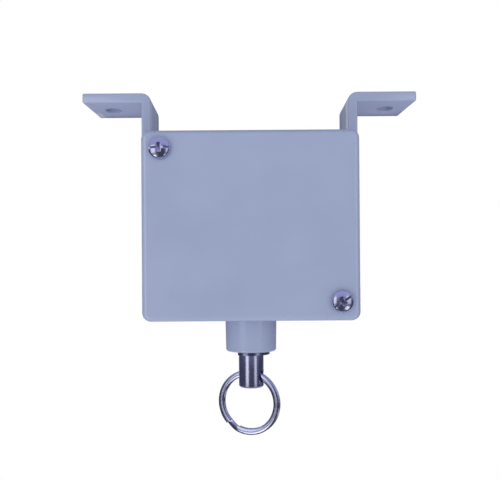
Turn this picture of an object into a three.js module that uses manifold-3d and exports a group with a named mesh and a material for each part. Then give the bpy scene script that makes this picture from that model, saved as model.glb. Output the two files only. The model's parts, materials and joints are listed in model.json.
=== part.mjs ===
// Ceiling-mounted rope pull switch, in millimetres, +Z up, front towards -Y.
// The origin lies on the axis of the pull rod, in the plane where the bracket flanges meet the ceiling.

import * as THREE from 'three';
import { mergeVertices } from 'three/addons/utils/BufferGeometryUtils.js';
import Module from 'manifold-3d';

const wasm = await Module();
wasm.setup();

// Clearances
const FIT_GAP = 0.3;
const PIN_GAP = 0.15;
const PART_LINE_GAP = 0.1;

// Cast housing
const HOUSING_WIDTH = 80;
const HOUSING_HEIGHT = 70;
const HOUSING_DEPTH = 48;
const HOUSING_CORNER_RADIUS = 3.2;
const HOUSING_EDGE_RADIUS = 2;
const WALL = 3;
const CAVITY_CORNER_RADIUS = 1.6;

// Boss under the housing
const BOSS_TOP_DIAMETER = 20.6;
const BOSS_END_DIAMETER = 20.2;
const BOSS_LENGTH = 13.2;
const BOSS_RIM_RADIUS = 1;
const BOSS_ROOT_RADIUS = 0.8;

// Cover, gasket and cover screws
const COVER_THICKNESS = 4;
const COVER_LIP_THICKNESS = 1.5;
const COVER_LIP_DEPTH = 1.6;
const COVER_LIP_CORNER_RADIUS = 0.5;
const GASKET_THICKNESS = 1.2;
const GASKET_INSET = 0.5;
const COVER_SCREW_INSET = 7;
const COVER_SCREW_DIAMETER = 4;
const COVER_SCREW_LENGTH = 14;
const COVER_HEAD_DIAMETER = 8;
const COVER_HEAD_HEIGHT = 2.9;
const COVER_HEAD_SIDE_HEIGHT = 1.2;
const COVER_SLOT_WIDTH = 1.1;
const COVER_SLOT_DEPTH = 1.5;
const COVER_CROSS_LENGTH = 4.4;
const COVER_POST_DIAMETER = 9;
const UPPER_SLOT_TURN = 2;
const LOWER_SLOT_TURN = 33;

// Bent flat-bar brackets
const FLANGE_RISE = 21.7;
const BRACKET_THICKNESS = 4;
const BRACKET_WIDTH = 22;
const BRACKET_FRONT_OFFSET = 25;
const BRACKET_SPAN = 136;
const BRACKET_BEND_RADIUS = 4;
const BRACKET_END_SKEW = 2;
const LEG_OVERLAP = 46;
const CEILING_HOLE_DIAMETER = 6.6;
const CEILING_HOLE_INSET = 10.5;

// Countersunk bracket screws and their nuts
const BRACKET_SCREW_DROPS = [18, 36];
const BRACKET_SCREW_DIAMETER = 5;
const BRACKET_HEAD_DIAMETER = 9.6;
const BRACKET_HEAD_HEIGHT = 2.5;
const BRACKET_SLOT_WIDTH = 1.2;
const BRACKET_SLOT_DEPTH = 1.1;
const BRACKET_NUT_FLATS = 8;
const BRACKET_NUT_HEIGHT = 4;
const SCREW_END_PROUD = 1.5;

// Guide bush in the boss
const BUSH_WALL = 1.3;
const BUSH_FLANGE_DIAMETER = 18;
const BUSH_FLANGE_THICKNESS = 1.5;

// Pull rod
const ROD_DIAMETER = 10;
const ROD_REACH = 14.6;
const ROD_CHAMFER = 0.6;
const ROD_NECK_DIAMETER = 8;
const ROD_TOP_PROUD = 1.5;
const CROSS_HOLE_DIAMETER = 5.3;
const CROSS_HOLE_RISE = 4.5;
const CROSS_HOLE_TURN = 21;

// Retaining ring on the rod under the boss
const CLIP_THICKNESS = 1;
const CLIP_GROOVE_DEPTH = 0.6;
const CLIP_DIAMETER = 15;
const CLIP_MOUTH_WIDTH = 8.2;
const CLIP_MOUTH_REACH = 5.3;
const CLIP_RELIEF_DIAMETER = 12;
const CLIP_RELIEF_START = 35;
const CLIP_RELIEF_END = 95;

// Split ring for the rope
const RING_OUTER_DIAMETER = 26.3;
const RING_BAND_WIDTH = 2.6;
const RING_BAND_THICKNESS = 0.95;
const RING_EDGE_BREAK = 0.28;
const RING_COIL_GAP = 0.15;
const RING_JOGGLE = 25;
const RING_START = 47;
const RING_SIDE_SHIFT = 1.05;
const RING_SEAT_GAP = 0.2;

// Return spring and its cup
const SPRING_COIL_DIAMETER = 12.6;
const SPRING_WIRE_DIAMETER = 1.6;
const SPRING_TURNS = 8;
const SPRING_END_GAP = 0.1;
const SPRING_CLOSED_GAP = 0.13;
const CUP_THICKNESS = 1.5;
const CUP_RIM_DEPTH = 2;
const CUP_RIM_WALL = 1.2;

// Actuator plate, its guide rib, and the nut and washer that hold it on the rod
const PULL_STROKE = 6;
const PLATE_THICKNESS = 2;
const PLATE_HUB_DIAMETER = 20;
const PLATE_ARM_WIDTH = 9;
const PLATE_ARM_PAST_ROLLER = 3;
const PLATE_TAIL_WIDTH = 10;
const RIB_WIDTH = 3;
const RIB_HEIGHT = 4;
const RIB_ENGAGEMENT = 2.5;
const RIB_OVERRUN = 6;
const ROD_WASHER_DIAMETER = 16;
const ROD_WASHER_THICKNESS = 1.6;
const ROD_NUT_FLATS = 13;
const ROD_NUT_HEIGHT = 6.5;

// Snap-action switch
const SWITCH_HEIGHT = 15.9;
const SWITCH_DEPTH = 10.3;
const SWITCH_EDGE_CHAMFER = 1;
const SWITCH_SIDE_GAP = 0.6;
const SWITCH_SPRING_GAP = 1.5;
const SWITCH_LID_THICKNESS = 2.4;
const SWITCH_HOLE_INSET = 2.9;
const SWITCH_HOLE_RISE = 10.2;
const SWITCH_SCREW_DIAMETER = 3;
const SWITCH_SCREW_HEAD_DIAMETER = 5.5;
const SWITCH_SCREW_HEAD_HEIGHT = 2;
const SWITCH_SCREW_BITE = 8;
const SWITCH_POST_DIAMETER = 7;
const SMALL_SLOT_WIDTH = 0.8;
const INSULATOR_THICKNESS = 0.8;
const INSULATOR_MARGIN = 0.3;

// Terminals under the switch
const TAB_LENGTH = 6.5;
const TAB_WIDTH = 6.3;
const TAB_THICKNESS = 0.8;
const TAB_HOLE_DIAMETER = 1.6;
const TAB_TIP_CHAMFER = 1.2;
const TAB_FLOOR_GAP = 2.5;
const TAB_END_INSET = 1.95;

// Lever, roller and plunger
const LEVER_PIVOT_INSET = 2.6;
const LEVER_PIN_DIAMETER = 1.6;
const KNUCKLE_DIAMETER = 3.2;
const KNUCKLE_WIDTH = 5;
const LEVER_THICKNESS = 0.6;
const ROLLER_END_INSET = 4.7;
const ROLLER_DIAMETER = 4.8;
const ROLLER_WIDTH = 3.2;
const ROLLER_PIN_DIAMETER = 1.4;
const FORK_EAR_DIAMETER = 3.4;
const PIN_EAR_WIDTH = 2.2;
const PLUNGER_OFFSET = 5.5;
const PLUNGER_DIAMETER = 3;
const PLUNGER_LENGTH = 6;

// Earth terminal inside the back wall
const EARTH_SIDE_INSET = 13;
const EARTH_DROP = 44;
const EARTH_BOSS_DIAMETER = 9;
const EARTH_BOSS_HEIGHT = 5;
const EARTH_SCREW_DIAMETER = 4;
const EARTH_SCREW_LENGTH = 6;
const EARTH_HEAD_DIAMETER = 7;
const EARTH_HEAD_HEIGHT = 2.6;
const EARTH_CLAMP_SIZE = 8.4;
const EARTH_CLAMP_THICKNESS = 1.2;

// Cable entry in the back wall with its blind grommet
const ENTRY_DIAMETER = 20;
const ENTRY_SIDE_INSET = 17;
const ENTRY_DROP = 19;
const GROMMET_LIP_WIDTH = 2.4;
const GROMMET_LIP_THICKNESS = 1.6;
const GROMMET_WALL = 1.8;
const GROMMET_SKIN = 1;

// Numbers of facets
const WIDE_ROUND_SIDES = 40;
const ROUND_SIDES = 32;
const HEAD_SIDES = 24;
const SMALL_ROUND_SIDES = 20;
const TINY_ROUND_SIDES = 16;
const CORNER_STEPS = 5;
const EDGE_STEPS = 3;
const RING_STEPS = 90;
const SPRING_STEPS_PER_TURN = 14;
const OVERCUT = 1;

// Places worked out from the sizes above
const housingTop = -FLANGE_RISE;
const housingBottom = housingTop - HOUSING_HEIGHT;
const housingMiddle = (housingTop + housingBottom) / 2;
const housingFront = -HOUSING_DEPTH / 2;
const housingBack = HOUSING_DEPTH / 2;
const coverBack = housingFront + COVER_THICKNESS;
const rimFront = coverBack + GASKET_THICKNESS;
const cavityWidth = HOUSING_WIDTH - 2 * WALL;
const cavityHeight = HOUSING_HEIGHT - 2 * WALL;
const cavitySide = cavityWidth / 2;
const cavityFloor = housingBottom + WALL;
const cavityBack = housingBack - WALL;
const bossEnd = housingBottom - BOSS_LENGTH;

const coverScrewX = HOUSING_WIDTH / 2 - COVER_SCREW_INSET;
const coverScrewZ = HOUSING_HEIGHT / 2 - COVER_SCREW_INSET;
const coverBoreRadius = COVER_SCREW_DIAMETER / 2 + FIT_GAP;
const coverScrewPlaces = [
  { name: 'upper_left', x: -coverScrewX, z: housingMiddle + coverScrewZ, turn: UPPER_SLOT_TURN },
  { name: 'lower_right', x: coverScrewX, z: housingMiddle - coverScrewZ, turn: LOWER_SLOT_TURN },
];

const bracketBoreRadius = BRACKET_SCREW_DIAMETER / 2 + FIT_GAP;
const bracketFront = housingFront + BRACKET_FRONT_OFFSET;
const bracketMiddle = bracketFront + BRACKET_WIDTH / 2;
const legInside = HOUSING_WIDTH / 2;
const legOutside = legInside + BRACKET_THICKNESS;
const legEnd = housingTop - LEG_OVERLAP;

const bushBoreRadius = ROD_DIAMETER / 2 + FIT_GAP;
const bushRadius = bushBoreRadius + BUSH_WALL;
const bushFlangeTop = cavityFloor + BUSH_FLANGE_THICKNESS;

const rodEnd = bossEnd - ROD_REACH;
const crossHoleZ = rodEnd + CROSS_HOLE_RISE;
const clipTop = bossEnd - FIT_GAP;
const clipBottom = clipTop - CLIP_THICKNESS;

const springRadius = (SPRING_COIL_DIAMETER + SPRING_WIRE_DIAMETER) / 2;
const switchLeft = -cavitySide + SWITCH_SIDE_GAP;
const switchRight = -springRadius - SWITCH_SPRING_GAP;
const switchLength = switchRight - switchLeft;
const switchBottom = cavityFloor + TAB_FLOOR_GAP + TAB_LENGTH;
const switchTop = switchBottom + SWITCH_HEIGHT;
const switchFront = -SWITCH_DEPTH / 2;
const switchBack = SWITCH_DEPTH / 2;
const insulatorBack = switchBack + INSULATOR_THICKNESS;
const switchBoreRadius = SWITCH_SCREW_DIAMETER / 2 + PIN_GAP;
const lowerHoleZ = switchBottom + SWITCH_HOLE_INSET;
const switchHoles = [
  { name: 'lower', x: switchLeft + SWITCH_HOLE_INSET, z: lowerHoleZ },
  { name: 'upper', x: switchRight - SWITCH_HOLE_INSET, z: lowerHoleZ + SWITCH_HOLE_RISE },
];

// The lever lies flat over the switch when the rod is pulled right down, and rises from there at rest
const knuckleRadius = KNUCKLE_DIAMETER / 2;
const pivotX = switchLeft + LEVER_PIVOT_INSET;
const leverReach = switchLength - LEVER_PIVOT_INSET - ROLLER_END_INSET;
const pivotZ = switchTop + knuckleRadius + FIT_GAP;
const bladeBottom = -knuckleRadius;
const bladeTop = bladeBottom + LEVER_THICKNESS;
const rollerRadius = ROLLER_DIAMETER / 2;
const rollerRise = bladeTop + FIT_GAP + rollerRadius;
const rollerArm = Math.hypot(leverReach, rollerRise);
const leverTilt = Math.asin((rollerRise + PULL_STROKE) / rollerArm) - Math.asin(rollerRise / rollerArm);
const rollerRestX = pivotX + rollerArm * Math.cos(leverTilt + Math.asin(rollerRise / rollerArm));
const rollerRestZ = pivotZ + rollerRise + PULL_STROKE;

// The plunger's round top follows the underside of the lever
const plungerRadius = PLUNGER_DIAMETER / 2;
const plungerReach = PLUNGER_OFFSET * Math.sin(leverTilt) - knuckleRadius - plungerRadius - FIT_GAP;
const plungerCentreZ = pivotZ + plungerReach / Math.cos(leverTilt);
const plungerTravel = plungerCentreZ - (pivotZ - knuckleRadius - plungerRadius - FIT_GAP);

const plateBottom = rollerRestZ + rollerRadius + FIT_GAP;
const plateTop = plateBottom + PLATE_THICKNESS;
const cupBottom = plateBottom - CUP_THICKNESS;
const ribFront = cavityBack - RIB_HEIGHT;
const rodWasherBottom = plateTop + FIT_GAP;
const rodNutBottom = rodWasherBottom + ROD_WASHER_THICKNESS;
const rodTop = rodNutBottom + ROD_NUT_HEIGHT + ROD_TOP_PROUD;
const rodShoulder = cupBottom - FIT_GAP;

const entryX = cavitySide - ENTRY_SIDE_INSET;
const entryZ = housingTop - ENTRY_DROP;
const earthX = cavitySide - EARTH_SIDE_INSET;
const earthZ = housingTop - EARTH_DROP;
const earthFace = cavityBack - EARTH_BOSS_HEIGHT;

// Finishes
const paint = { color: 0x979fb9, roughness: 0.5, metalness: 0.05 };
const nickel = { color: 0xb9bac6, roughness: 0.22, metalness: 1 };
const zinc = { color: 0xa9abb5, roughness: 0.35, metalness: 0.9 };
const springSteel = { color: 0x6d7079, roughness: 0.35, metalness: 0.9 };
const bronze = { color: 0xa8834c, roughness: 0.4, metalness: 0.9 };
const brass = { color: 0xc6a653, roughness: 0.35, metalness: 0.9 };
const rubber = { color: 0x26272a, roughness: 0.8, metalness: 0 };
const phenolic = { color: 0x2f2a28, roughness: 0.5, metalness: 0 };
const nylon = { color: 0xd9d5c8, roughness: 0.5, metalness: 0 };
const fishPaper = { color: 0x8d8466, roughness: 0.85, metalness: 0 };

// A closed surface becomes a solid, turned the right side out
function solidOf(geometry) {
  const bare = geometry.clone();
  bare.deleteAttribute('normal');
  bare.deleteAttribute('uv');
  const merged = mergeVertices(bare, 1e-4);
  const vertProperties = Float32Array.from(merged.attributes.position.array);
  const corner = (i) => new THREE.Vector3().fromArray(vertProperties, 3 * i);
  const faces = [];
  let volume = 0;
  for (let i = 0; i < merged.index.count; i += 3) {
    const [a, b, c] = [0, 1, 2].map((k) => merged.index.getX(i + k));
    if (a === b || b === c || c === a) continue;
    faces.push([a, b, c]);
    volume += corner(a).dot(corner(b).cross(corner(c)));
  }
  const triVerts = Uint32Array.from(faces.flatMap(([a, b, c]) => (volume > 0 ? [a, b, c] : [a, c, b])));
  return new wasm.Manifold(new wasm.Mesh({ numProp: 3, vertProperties, triVerts }));
}

function meshOf(name, solid, finish) {
  const { vertProperties, triVerts } = solid.getMesh();
  const geometry = new THREE.BufferGeometry();
  geometry.setAttribute('position', new THREE.BufferAttribute(vertProperties, 3));
  geometry.setIndex(new THREE.BufferAttribute(triVerts, 1));
  geometry.computeVertexNormals();
  const mesh = new THREE.Mesh(geometry, new THREE.MeshStandardMaterial({ ...finish, flatShading: true }));
  mesh.name = name;
  return mesh;
}

const join = (first, ...others) => others.reduce((whole, part) => whole.add(part), first);
const cut = (first, ...others) => others.reduce((whole, part) => whole.subtract(part), first);
const degrees = THREE.MathUtils.degToRad;

// Points round an arc, angles in degrees, anticlockwise from the first axis
function arc(x, y, radius, from, to, steps) {
  return Array.from({ length: steps + 1 }, (_, i) => {
    const angle = degrees(from + ((to - from) * i) / steps);
    return new THREE.Vector2(x + radius * Math.cos(angle), y + radius * Math.sin(angle));
  });
}

function roundedRectangle(width, height, radius, y = 0) {
  const x = width / 2 - radius;
  const z = height / 2 - radius;
  return new THREE.Shape([
    ...arc(x, y - z, radius, -90, 0, CORNER_STEPS),
    ...arc(x, y + z, radius, 0, 90, CORNER_STEPS),
    ...arc(-x, y + z, radius, 90, 180, CORNER_STEPS),
    ...arc(-x, y - z, radius, 180, 270, CORNER_STEPS),
  ]);
}

function hexagon(flats) {
  return new THREE.Shape(arc(0, 0, flats / Math.sqrt(3), 0, 300, 5));
}

// Axes of an outline and of the way it is pushed, for each direction
const frames = {
  x: [new THREE.Vector3(0, 1, 0), new THREE.Vector3(0, 0, 1), new THREE.Vector3(1, 0, 0)],
  y: [new THREE.Vector3(-1, 0, 0), new THREE.Vector3(0, 0, 1), new THREE.Vector3(0, 1, 0)],
  z: [new THREE.Vector3(1, 0, 0), new THREE.Vector3(0, 1, 0), new THREE.Vector3(0, 0, 1)],
};

// An outline pushed along an axis from start to end, with its edges rounded if a radius is given.
// Along Y the outline's first axis runs towards -X, so outlines there are symmetric or mirrored.
function prism(axis, outline, start, end, radius = 0) {
  const geometry = new THREE.ExtrudeGeometry(outline, {
    depth: end - start - 2 * radius,
    bevelEnabled: radius > 0,
    bevelThickness: radius,
    bevelSize: radius,
    bevelOffset: -radius,
    bevelSegments: EDGE_STEPS,
  });
  geometry.translate(0, 0, start + radius);
  geometry.applyMatrix4(new THREE.Matrix4().makeBasis(...frames[axis]));
  return solidOf(geometry);
}

function block(x0, x1, y0, y1, z0, z1) {
  const geometry = new THREE.BoxGeometry(x1 - x0, y1 - y0, z1 - z0);
  geometry.translate((x0 + x1) / 2, (y0 + y1) / 2, (z0 + z1) / 2);
  return solidOf(geometry);
}

// A profile of [radius, height] pairs turned round Z, starting and ending on the axis or closing on itself
function turned(profile, sides = ROUND_SIDES) {
  const points = profile.map(([radius, height]) => new THREE.Vector2(radius, height));
  return solidOf(new THREE.LatheGeometry(points, sides).rotateX(Math.PI / 2));
}

const cylinder = (radius, from, to, sides = ROUND_SIDES) =>
  turned([[0, from], [radius, from], [radius, to], [0, to]], sides);

const washer = (bore, radius, from, to, sides = ROUND_SIDES) =>
  turned([[bore, from], [radius, from], [radius, to], [bore, to], [bore, from]], sides);

// Turning a solid made round Z onto another axis: its +Z goes to +Y, +X or -X
const alongY = (solid, x, z) => solid.rotate([-90, 0, 0]).translate([x, 0, z]);
const alongX = (solid, side, y, z) => solid.rotate([0, side * 90, 0]).translate([0, y, z]);

// A section of [radial, axial] points carried along a path, closed by flat ends
function swept(section, steps, place) {
  const ring = section.length;
  const positions = [];
  for (let i = 0; i <= steps; i += 1) {
    for (const point of section) positions.push(...place(i / steps, point));
  }
  const index = [];
  for (let i = 0; i < steps; i += 1) {
    for (let k = 0; k < ring; k += 1) {
      const here = i * ring + k;
      const next = i * ring + ((k + 1) % ring);
      index.push(here, next, here + ring, next, next + ring, here + ring);
    }
  }
  const last = steps * ring;
  for (let k = 1; k < ring - 1; k += 1) {
    index.push(0, k + 1, k, last, last + k, last + k + 1);
  }
  const geometry = new THREE.BufferGeometry();
  geometry.setAttribute('position', new THREE.Float32BufferAttribute(positions, 3));
  geometry.setIndex(index);
  return solidOf(geometry);
}

// Cast housing: a box open at the front, with the boss below and the posts inside
function housingBody() {
  const outline = roundedRectangle(HOUSING_WIDTH, HOUSING_HEIGHT, HOUSING_CORNER_RADIUS, housingMiddle);
  const shell = prism('y', outline, rimFront - 2 * HOUSING_EDGE_RADIUS, housingBack, HOUSING_EDGE_RADIUS);
  const beyond = HOUSING_WIDTH;
  const front = block(-beyond, beyond, housingFront - OVERCUT, rimFront, housingBottom - OVERCUT, OVERCUT);
  const cavityOutline = roundedRectangle(cavityWidth, cavityHeight, CAVITY_CORNER_RADIUS, housingMiddle);
  const cavity = prism('y', cavityOutline, rimFront - OVERCUT, cavityBack);
  const box = cut(shell, front, cavity);

  const fillets = coverScrewPlaces.map(({ x, z }) => coverPost(x, z));
  const posts = switchHoles.map(({ x, z }) =>
    alongY(cylinder(SWITCH_POST_DIAMETER / 2, insulatorBack, cavityBack + OVERCUT, SMALL_ROUND_SIDES), x, z));
  const earthBoss = alongY(
    cylinder(EARTH_BOSS_DIAMETER / 2, earthFace, cavityBack + OVERCUT, SMALL_ROUND_SIDES), earthX, earthZ);
  const rib = block(-RIB_WIDTH / 2, RIB_WIDTH / 2, ribFront, cavityBack + OVERCUT,
    plateBottom - PULL_STROKE - RIB_OVERRUN, plateTop + RIB_OVERRUN);
  const cast = join(box, boss(), rib, earthBoss, ...fillets, ...posts);

  const bushBore = cylinder(bushRadius + FIT_GAP, bossEnd - OVERCUT, cavityFloor + OVERCUT);
  const entry = alongY(
    cylinder(ENTRY_DIAMETER / 2, cavityBack - OVERCUT, housingBack + OVERCUT), entryX, entryZ);
  return cut(cast, bushBore, entry, ...housingScrewBores());
}

function boss() {
  const radius = BOSS_END_DIAMETER / 2;
  const rim = arc(radius - BOSS_RIM_RADIUS, bossEnd + BOSS_RIM_RADIUS, BOSS_RIM_RADIUS, -90, 0, 4);
  const rootRadius = BOSS_TOP_DIAMETER / 2 + BOSS_ROOT_RADIUS;
  const root = arc(rootRadius, housingBottom - BOSS_ROOT_RADIUS, BOSS_ROOT_RADIUS, 180, 90, EDGE_STEPS);
  const profile = [...rim, ...root].map(({ x, y }) => [x, y]);
  return turned([[0, bossEnd], ...profile, [rootRadius, cavityFloor - OVERCUT], [0, cavityFloor - OVERCUT]],
    WIDE_ROUND_SIDES);
}

// A screw post runs into its corner of the walls
function coverPost(x, z) {
  const radius = COVER_POST_DIAMETER / 2;
  const post = alongY(cylinder(radius, rimFront, cavityBack + OVERCUT, SMALL_ROUND_SIDES), x, z);
  const wallX = Math.sign(x) * (cavitySide + OVERCUT);
  const wallZ = housingMiddle + Math.sign(z - housingMiddle) * (cavityHeight / 2 + OVERCUT);
  const edgeX = x - Math.sign(x) * radius;
  const edgeZ = z - Math.sign(z - housingMiddle) * radius;
  const web = (x1, z1, x2, z2) => block(Math.min(x1, x2), Math.max(x1, x2), rimFront, cavityBack + OVERCUT,
    Math.min(z1, z2), Math.max(z1, z2));
  return join(post, web(edgeX, z, wallX, wallZ), web(x, edgeZ, wallX, wallZ));
}

function housingScrewBores() {
  const coverBores = coverScrewPlaces.map(({ x, z }) => alongY(
    cylinder(coverBoreRadius, rimFront - OVERCUT,
      housingFront + COVER_SCREW_LENGTH + OVERCUT, TINY_ROUND_SIDES), x, z));
  const switchBores = switchHoles.map(({ x, z }) => alongY(
    cylinder(switchBoreRadius, insulatorBack - OVERCUT,
      insulatorBack + SWITCH_SCREW_BITE + OVERCUT, TINY_ROUND_SIDES), x, z));
  const earthBore = alongY(cylinder(EARTH_SCREW_DIAMETER / 2 + PIN_GAP, earthFace - OVERCUT,
    earthFace - EARTH_CLAMP_THICKNESS + EARTH_SCREW_LENGTH + FIT_GAP, TINY_ROUND_SIDES), earthX, earthZ);
  const sideBores = [-1, 1].flatMap((side) => BRACKET_SCREW_DROPS.map((drop) => alongX(
    cylinder(bracketBoreRadius, cavitySide - OVERCUT, legInside + OVERCUT, TINY_ROUND_SIDES),
    side, bracketMiddle, housingTop - drop)));
  return [...coverBores, ...switchBores, earthBore, ...sideBores];
}

// Flat cover with rounded front edges and a lip that drops inside the housing walls
function frontCover() {
  const outline = roundedRectangle(HOUSING_WIDTH, HOUSING_HEIGHT, HOUSING_CORNER_RADIUS, housingMiddle);
  const plate = prism('y', outline, housingFront, coverBack + 2 * HOUSING_EDGE_RADIUS, HOUSING_EDGE_RADIUS);
  const beyond = HOUSING_WIDTH;
  const behind = block(-beyond, beyond, coverBack, housingBack, housingBottom - OVERCUT, OVERCUT);

  const lipOutline = roundedRectangle(
    cavityWidth - 2 * FIT_GAP, cavityHeight - 2 * FIT_GAP, CAVITY_CORNER_RADIUS - FIT_GAP, housingMiddle);
  const lipInset = 2 * (FIT_GAP + COVER_LIP_THICKNESS);
  const lipInside = roundedRectangle(
    cavityWidth - lipInset, cavityHeight - lipInset, COVER_LIP_CORNER_RADIUS, housingMiddle);
  const lipBack = rimFront + COVER_LIP_DEPTH;
  const lip = cut(prism('y', lipOutline, coverBack - OVERCUT, lipBack),
    prism('y', lipInside, coverBack - 2 * OVERCUT, lipBack + OVERCUT));
  const postRoom = COVER_POST_DIAMETER / 2 + FIT_GAP;
  const roomTowards = (side) => Math.max(postRoom, side * COVER_SCREW_INSET);
  const lipNotches = coverScrewPlaces.map(({ x, z }) => {
    const sideX = Math.sign(x);
    const sideZ = Math.sign(z - housingMiddle);
    return block(x - roomTowards(-sideX), x + roomTowards(sideX), coverBack, housingBack,
      z - roomTowards(-sideZ), z + roomTowards(sideZ));
  });

  const holes = coverScrewPlaces.map(({ x, z }) => alongY(
    cylinder(coverBoreRadius, housingFront - OVERCUT, coverBack + OVERCUT, SMALL_ROUND_SIDES), x, z));
  return cut(join(cut(plate, behind), cut(lip, ...lipNotches)), ...holes);
}

// Flat gasket that follows the rim, with an eyelet round each cover screw
function coverGasket() {
  const outside = roundedRectangle(HOUSING_WIDTH - 2 * GASKET_INSET, HOUSING_HEIGHT - 2 * GASKET_INSET,
    HOUSING_CORNER_RADIUS - GASKET_INSET, housingMiddle);
  const inside = roundedRectangle(cavityWidth, cavityHeight, CAVITY_CORNER_RADIUS, housingMiddle);
  const band = cut(prism('y', outside, coverBack, rimFront),
    prism('y', inside, coverBack - OVERCUT, rimFront + OVERCUT));
  const eyelets = coverScrewPlaces.map(({ x, z }) => alongY(
    cylinder(COVER_POST_DIAMETER / 2, coverBack, rimFront, SMALL_ROUND_SIDES), x, z));
  const holes = coverScrewPlaces.map(({ x, z }) => alongY(
    cylinder(coverBoreRadius, coverBack - OVERCUT, rimFront + OVERCUT, SMALL_ROUND_SIDES), x, z));
  return cut(join(band, ...eyelets), ...holes);
}

// Pan-head screw made round Z with its tip up, then laid along Y with its head to the front
function coverScrew({ x, z, turn }) {
  const head = COVER_HEAD_DIAMETER / 2;
  const side = COVER_HEAD_SIDE_HEIGHT;
  const crown = (head * head + (COVER_HEAD_HEIGHT - side) ** 2) / (2 * (COVER_HEAD_HEIGHT - side));
  const rise = THREE.MathUtils.radToDeg(Math.asin(head / crown));
  const dome = arc(0, housingFront - COVER_HEAD_HEIGHT + crown, crown, -90, rise - 90, 5);
  const shank = COVER_SCREW_DIAMETER / 2;
  const tip = housingFront + COVER_SCREW_LENGTH;
  const body = turned([
    ...dome.map(({ x: radius, y: height }) => [radius, height]),
    [head, housingFront], [shank, housingFront],
    [shank, tip - shank / 2], [shank / 2, tip], [0, tip],
  ], HEAD_SIDES);
  const slotFloor = housingFront - COVER_HEAD_HEIGHT + COVER_SLOT_DEPTH;
  const slotTop = housingFront - COVER_HEAD_HEIGHT - OVERCUT;
  const halfSlot = COVER_SLOT_WIDTH / 2;
  const slot = block(-head - OVERCUT, head + OVERCUT, -halfSlot, halfSlot, slotTop, slotFloor);
  const halfCross = COVER_CROSS_LENGTH / 2;
  const cross = block(-halfSlot, halfSlot, -halfCross, halfCross, slotTop, slotFloor);
  return alongY(cut(body, slot, cross).rotate([0, 0, -turn]), x, z);
}

// Flat bar bent outwards into the ceiling flange; side is -1 on the left and 1 on the right
function bracket(side) {
  const tip = BRACKET_SPAN / 2;
  const outline = new THREE.Shape([
    new THREE.Vector2(legInside, legEnd),
    new THREE.Vector2(legOutside, legEnd),
    new THREE.Vector2(legOutside, -BRACKET_THICKNESS),
    new THREE.Vector2(tip, -BRACKET_THICKNESS),
    new THREE.Vector2(tip, 0),
    ...arc(legInside + BRACKET_BEND_RADIUS, -BRACKET_BEND_RADIUS, BRACKET_BEND_RADIUS, 90, 180, 6),
  ]);
  const bracketBack = bracketFront + BRACKET_WIDTH;
  const bar = prism('y', outline, bracketFront, bracketBack).mirror([1, 0, 0]);
  const skewed = new THREE.Shape([
    new THREE.Vector2(tip, bracketFront),
    new THREE.Vector2(tip + OVERCUT, bracketFront),
    new THREE.Vector2(tip + OVERCUT, bracketBack + OVERCUT),
    new THREE.Vector2(tip - BRACKET_END_SKEW, bracketBack + OVERCUT),
    new THREE.Vector2(tip - BRACKET_END_SKEW, bracketBack),
  ]);
  const end = prism('z', skewed, -BRACKET_THICKNESS - OVERCUT, OVERCUT);
  const ceilingHole = cylinder(CEILING_HOLE_DIAMETER / 2, -BRACKET_THICKNESS - OVERCUT, OVERCUT, HEAD_SIDES)
    .translate([tip - CEILING_HOLE_INSET, bracketMiddle, 0]);
  const sinks = BRACKET_SCREW_DROPS.map((drop) => alongX(turned([
    [0, legInside - OVERCUT],
    [bracketBoreRadius, legInside - OVERCUT],
    [bracketBoreRadius, legOutside - BRACKET_HEAD_HEIGHT - FIT_GAP],
    [BRACKET_HEAD_DIAMETER / 2 + FIT_GAP, legOutside - FIT_GAP],
    [BRACKET_HEAD_DIAMETER / 2 + FIT_GAP, legOutside + OVERCUT],
    [0, legOutside + OVERCUT],
  ], SMALL_ROUND_SIDES), 1, bracketMiddle, housingTop - drop));
  const right = cut(bar, end, ceilingHole, ...sinks);
  return side > 0 ? right : right.mirror([1, 0, 0]);
}

// Countersunk screw through bracket and wall into the nut, head outwards
function bracketScrew(side, drop) {
  const shank = BRACKET_SCREW_DIAMETER / 2;
  const inner = cavitySide - BRACKET_NUT_HEIGHT - SCREW_END_PROUD;
  const body = turned([
    [0, inner], [shank - ROD_CHAMFER, inner], [shank, inner + ROD_CHAMFER],
    [shank, legOutside - BRACKET_HEAD_HEIGHT],
    [BRACKET_HEAD_DIAMETER / 2, legOutside - FIT_GAP],
    [BRACKET_HEAD_DIAMETER / 2, legOutside],
    [0, legOutside],
  ], SMALL_ROUND_SIDES);
  const slot = block(-BRACKET_SLOT_WIDTH / 2, BRACKET_SLOT_WIDTH / 2,
    -BRACKET_HEAD_DIAMETER, BRACKET_HEAD_DIAMETER, legOutside - BRACKET_SLOT_DEPTH, legOutside + OVERCUT);
  return alongX(cut(body, slot), side, bracketMiddle, housingTop - drop);
}

function bracketNut(side, drop) {
  const inner = cavitySide - BRACKET_NUT_HEIGHT;
  const body = prism('z', hexagon(BRACKET_NUT_FLATS), inner, cavitySide);
  const bore = cylinder(BRACKET_SCREW_DIAMETER / 2 + PIN_GAP,
    inner - OVERCUT, cavitySide + OVERCUT, SMALL_ROUND_SIDES);
  return alongX(cut(body, bore), side, bracketMiddle, housingTop - drop);
}

// Bush pressed up the boss from inside, its flange on the housing floor
function guideBush() {
  return turned([
    [bushBoreRadius, bossEnd], [bushRadius - PIN_GAP, bossEnd], [bushRadius, bossEnd + BOSS_RIM_RADIUS],
    [bushRadius, cavityFloor], [BUSH_FLANGE_DIAMETER / 2, cavityFloor],
    [BUSH_FLANGE_DIAMETER / 2, bushFlangeTop], [bushBoreRadius, bushFlangeTop], [bushBoreRadius, bossEnd],
  ]);
}

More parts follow.
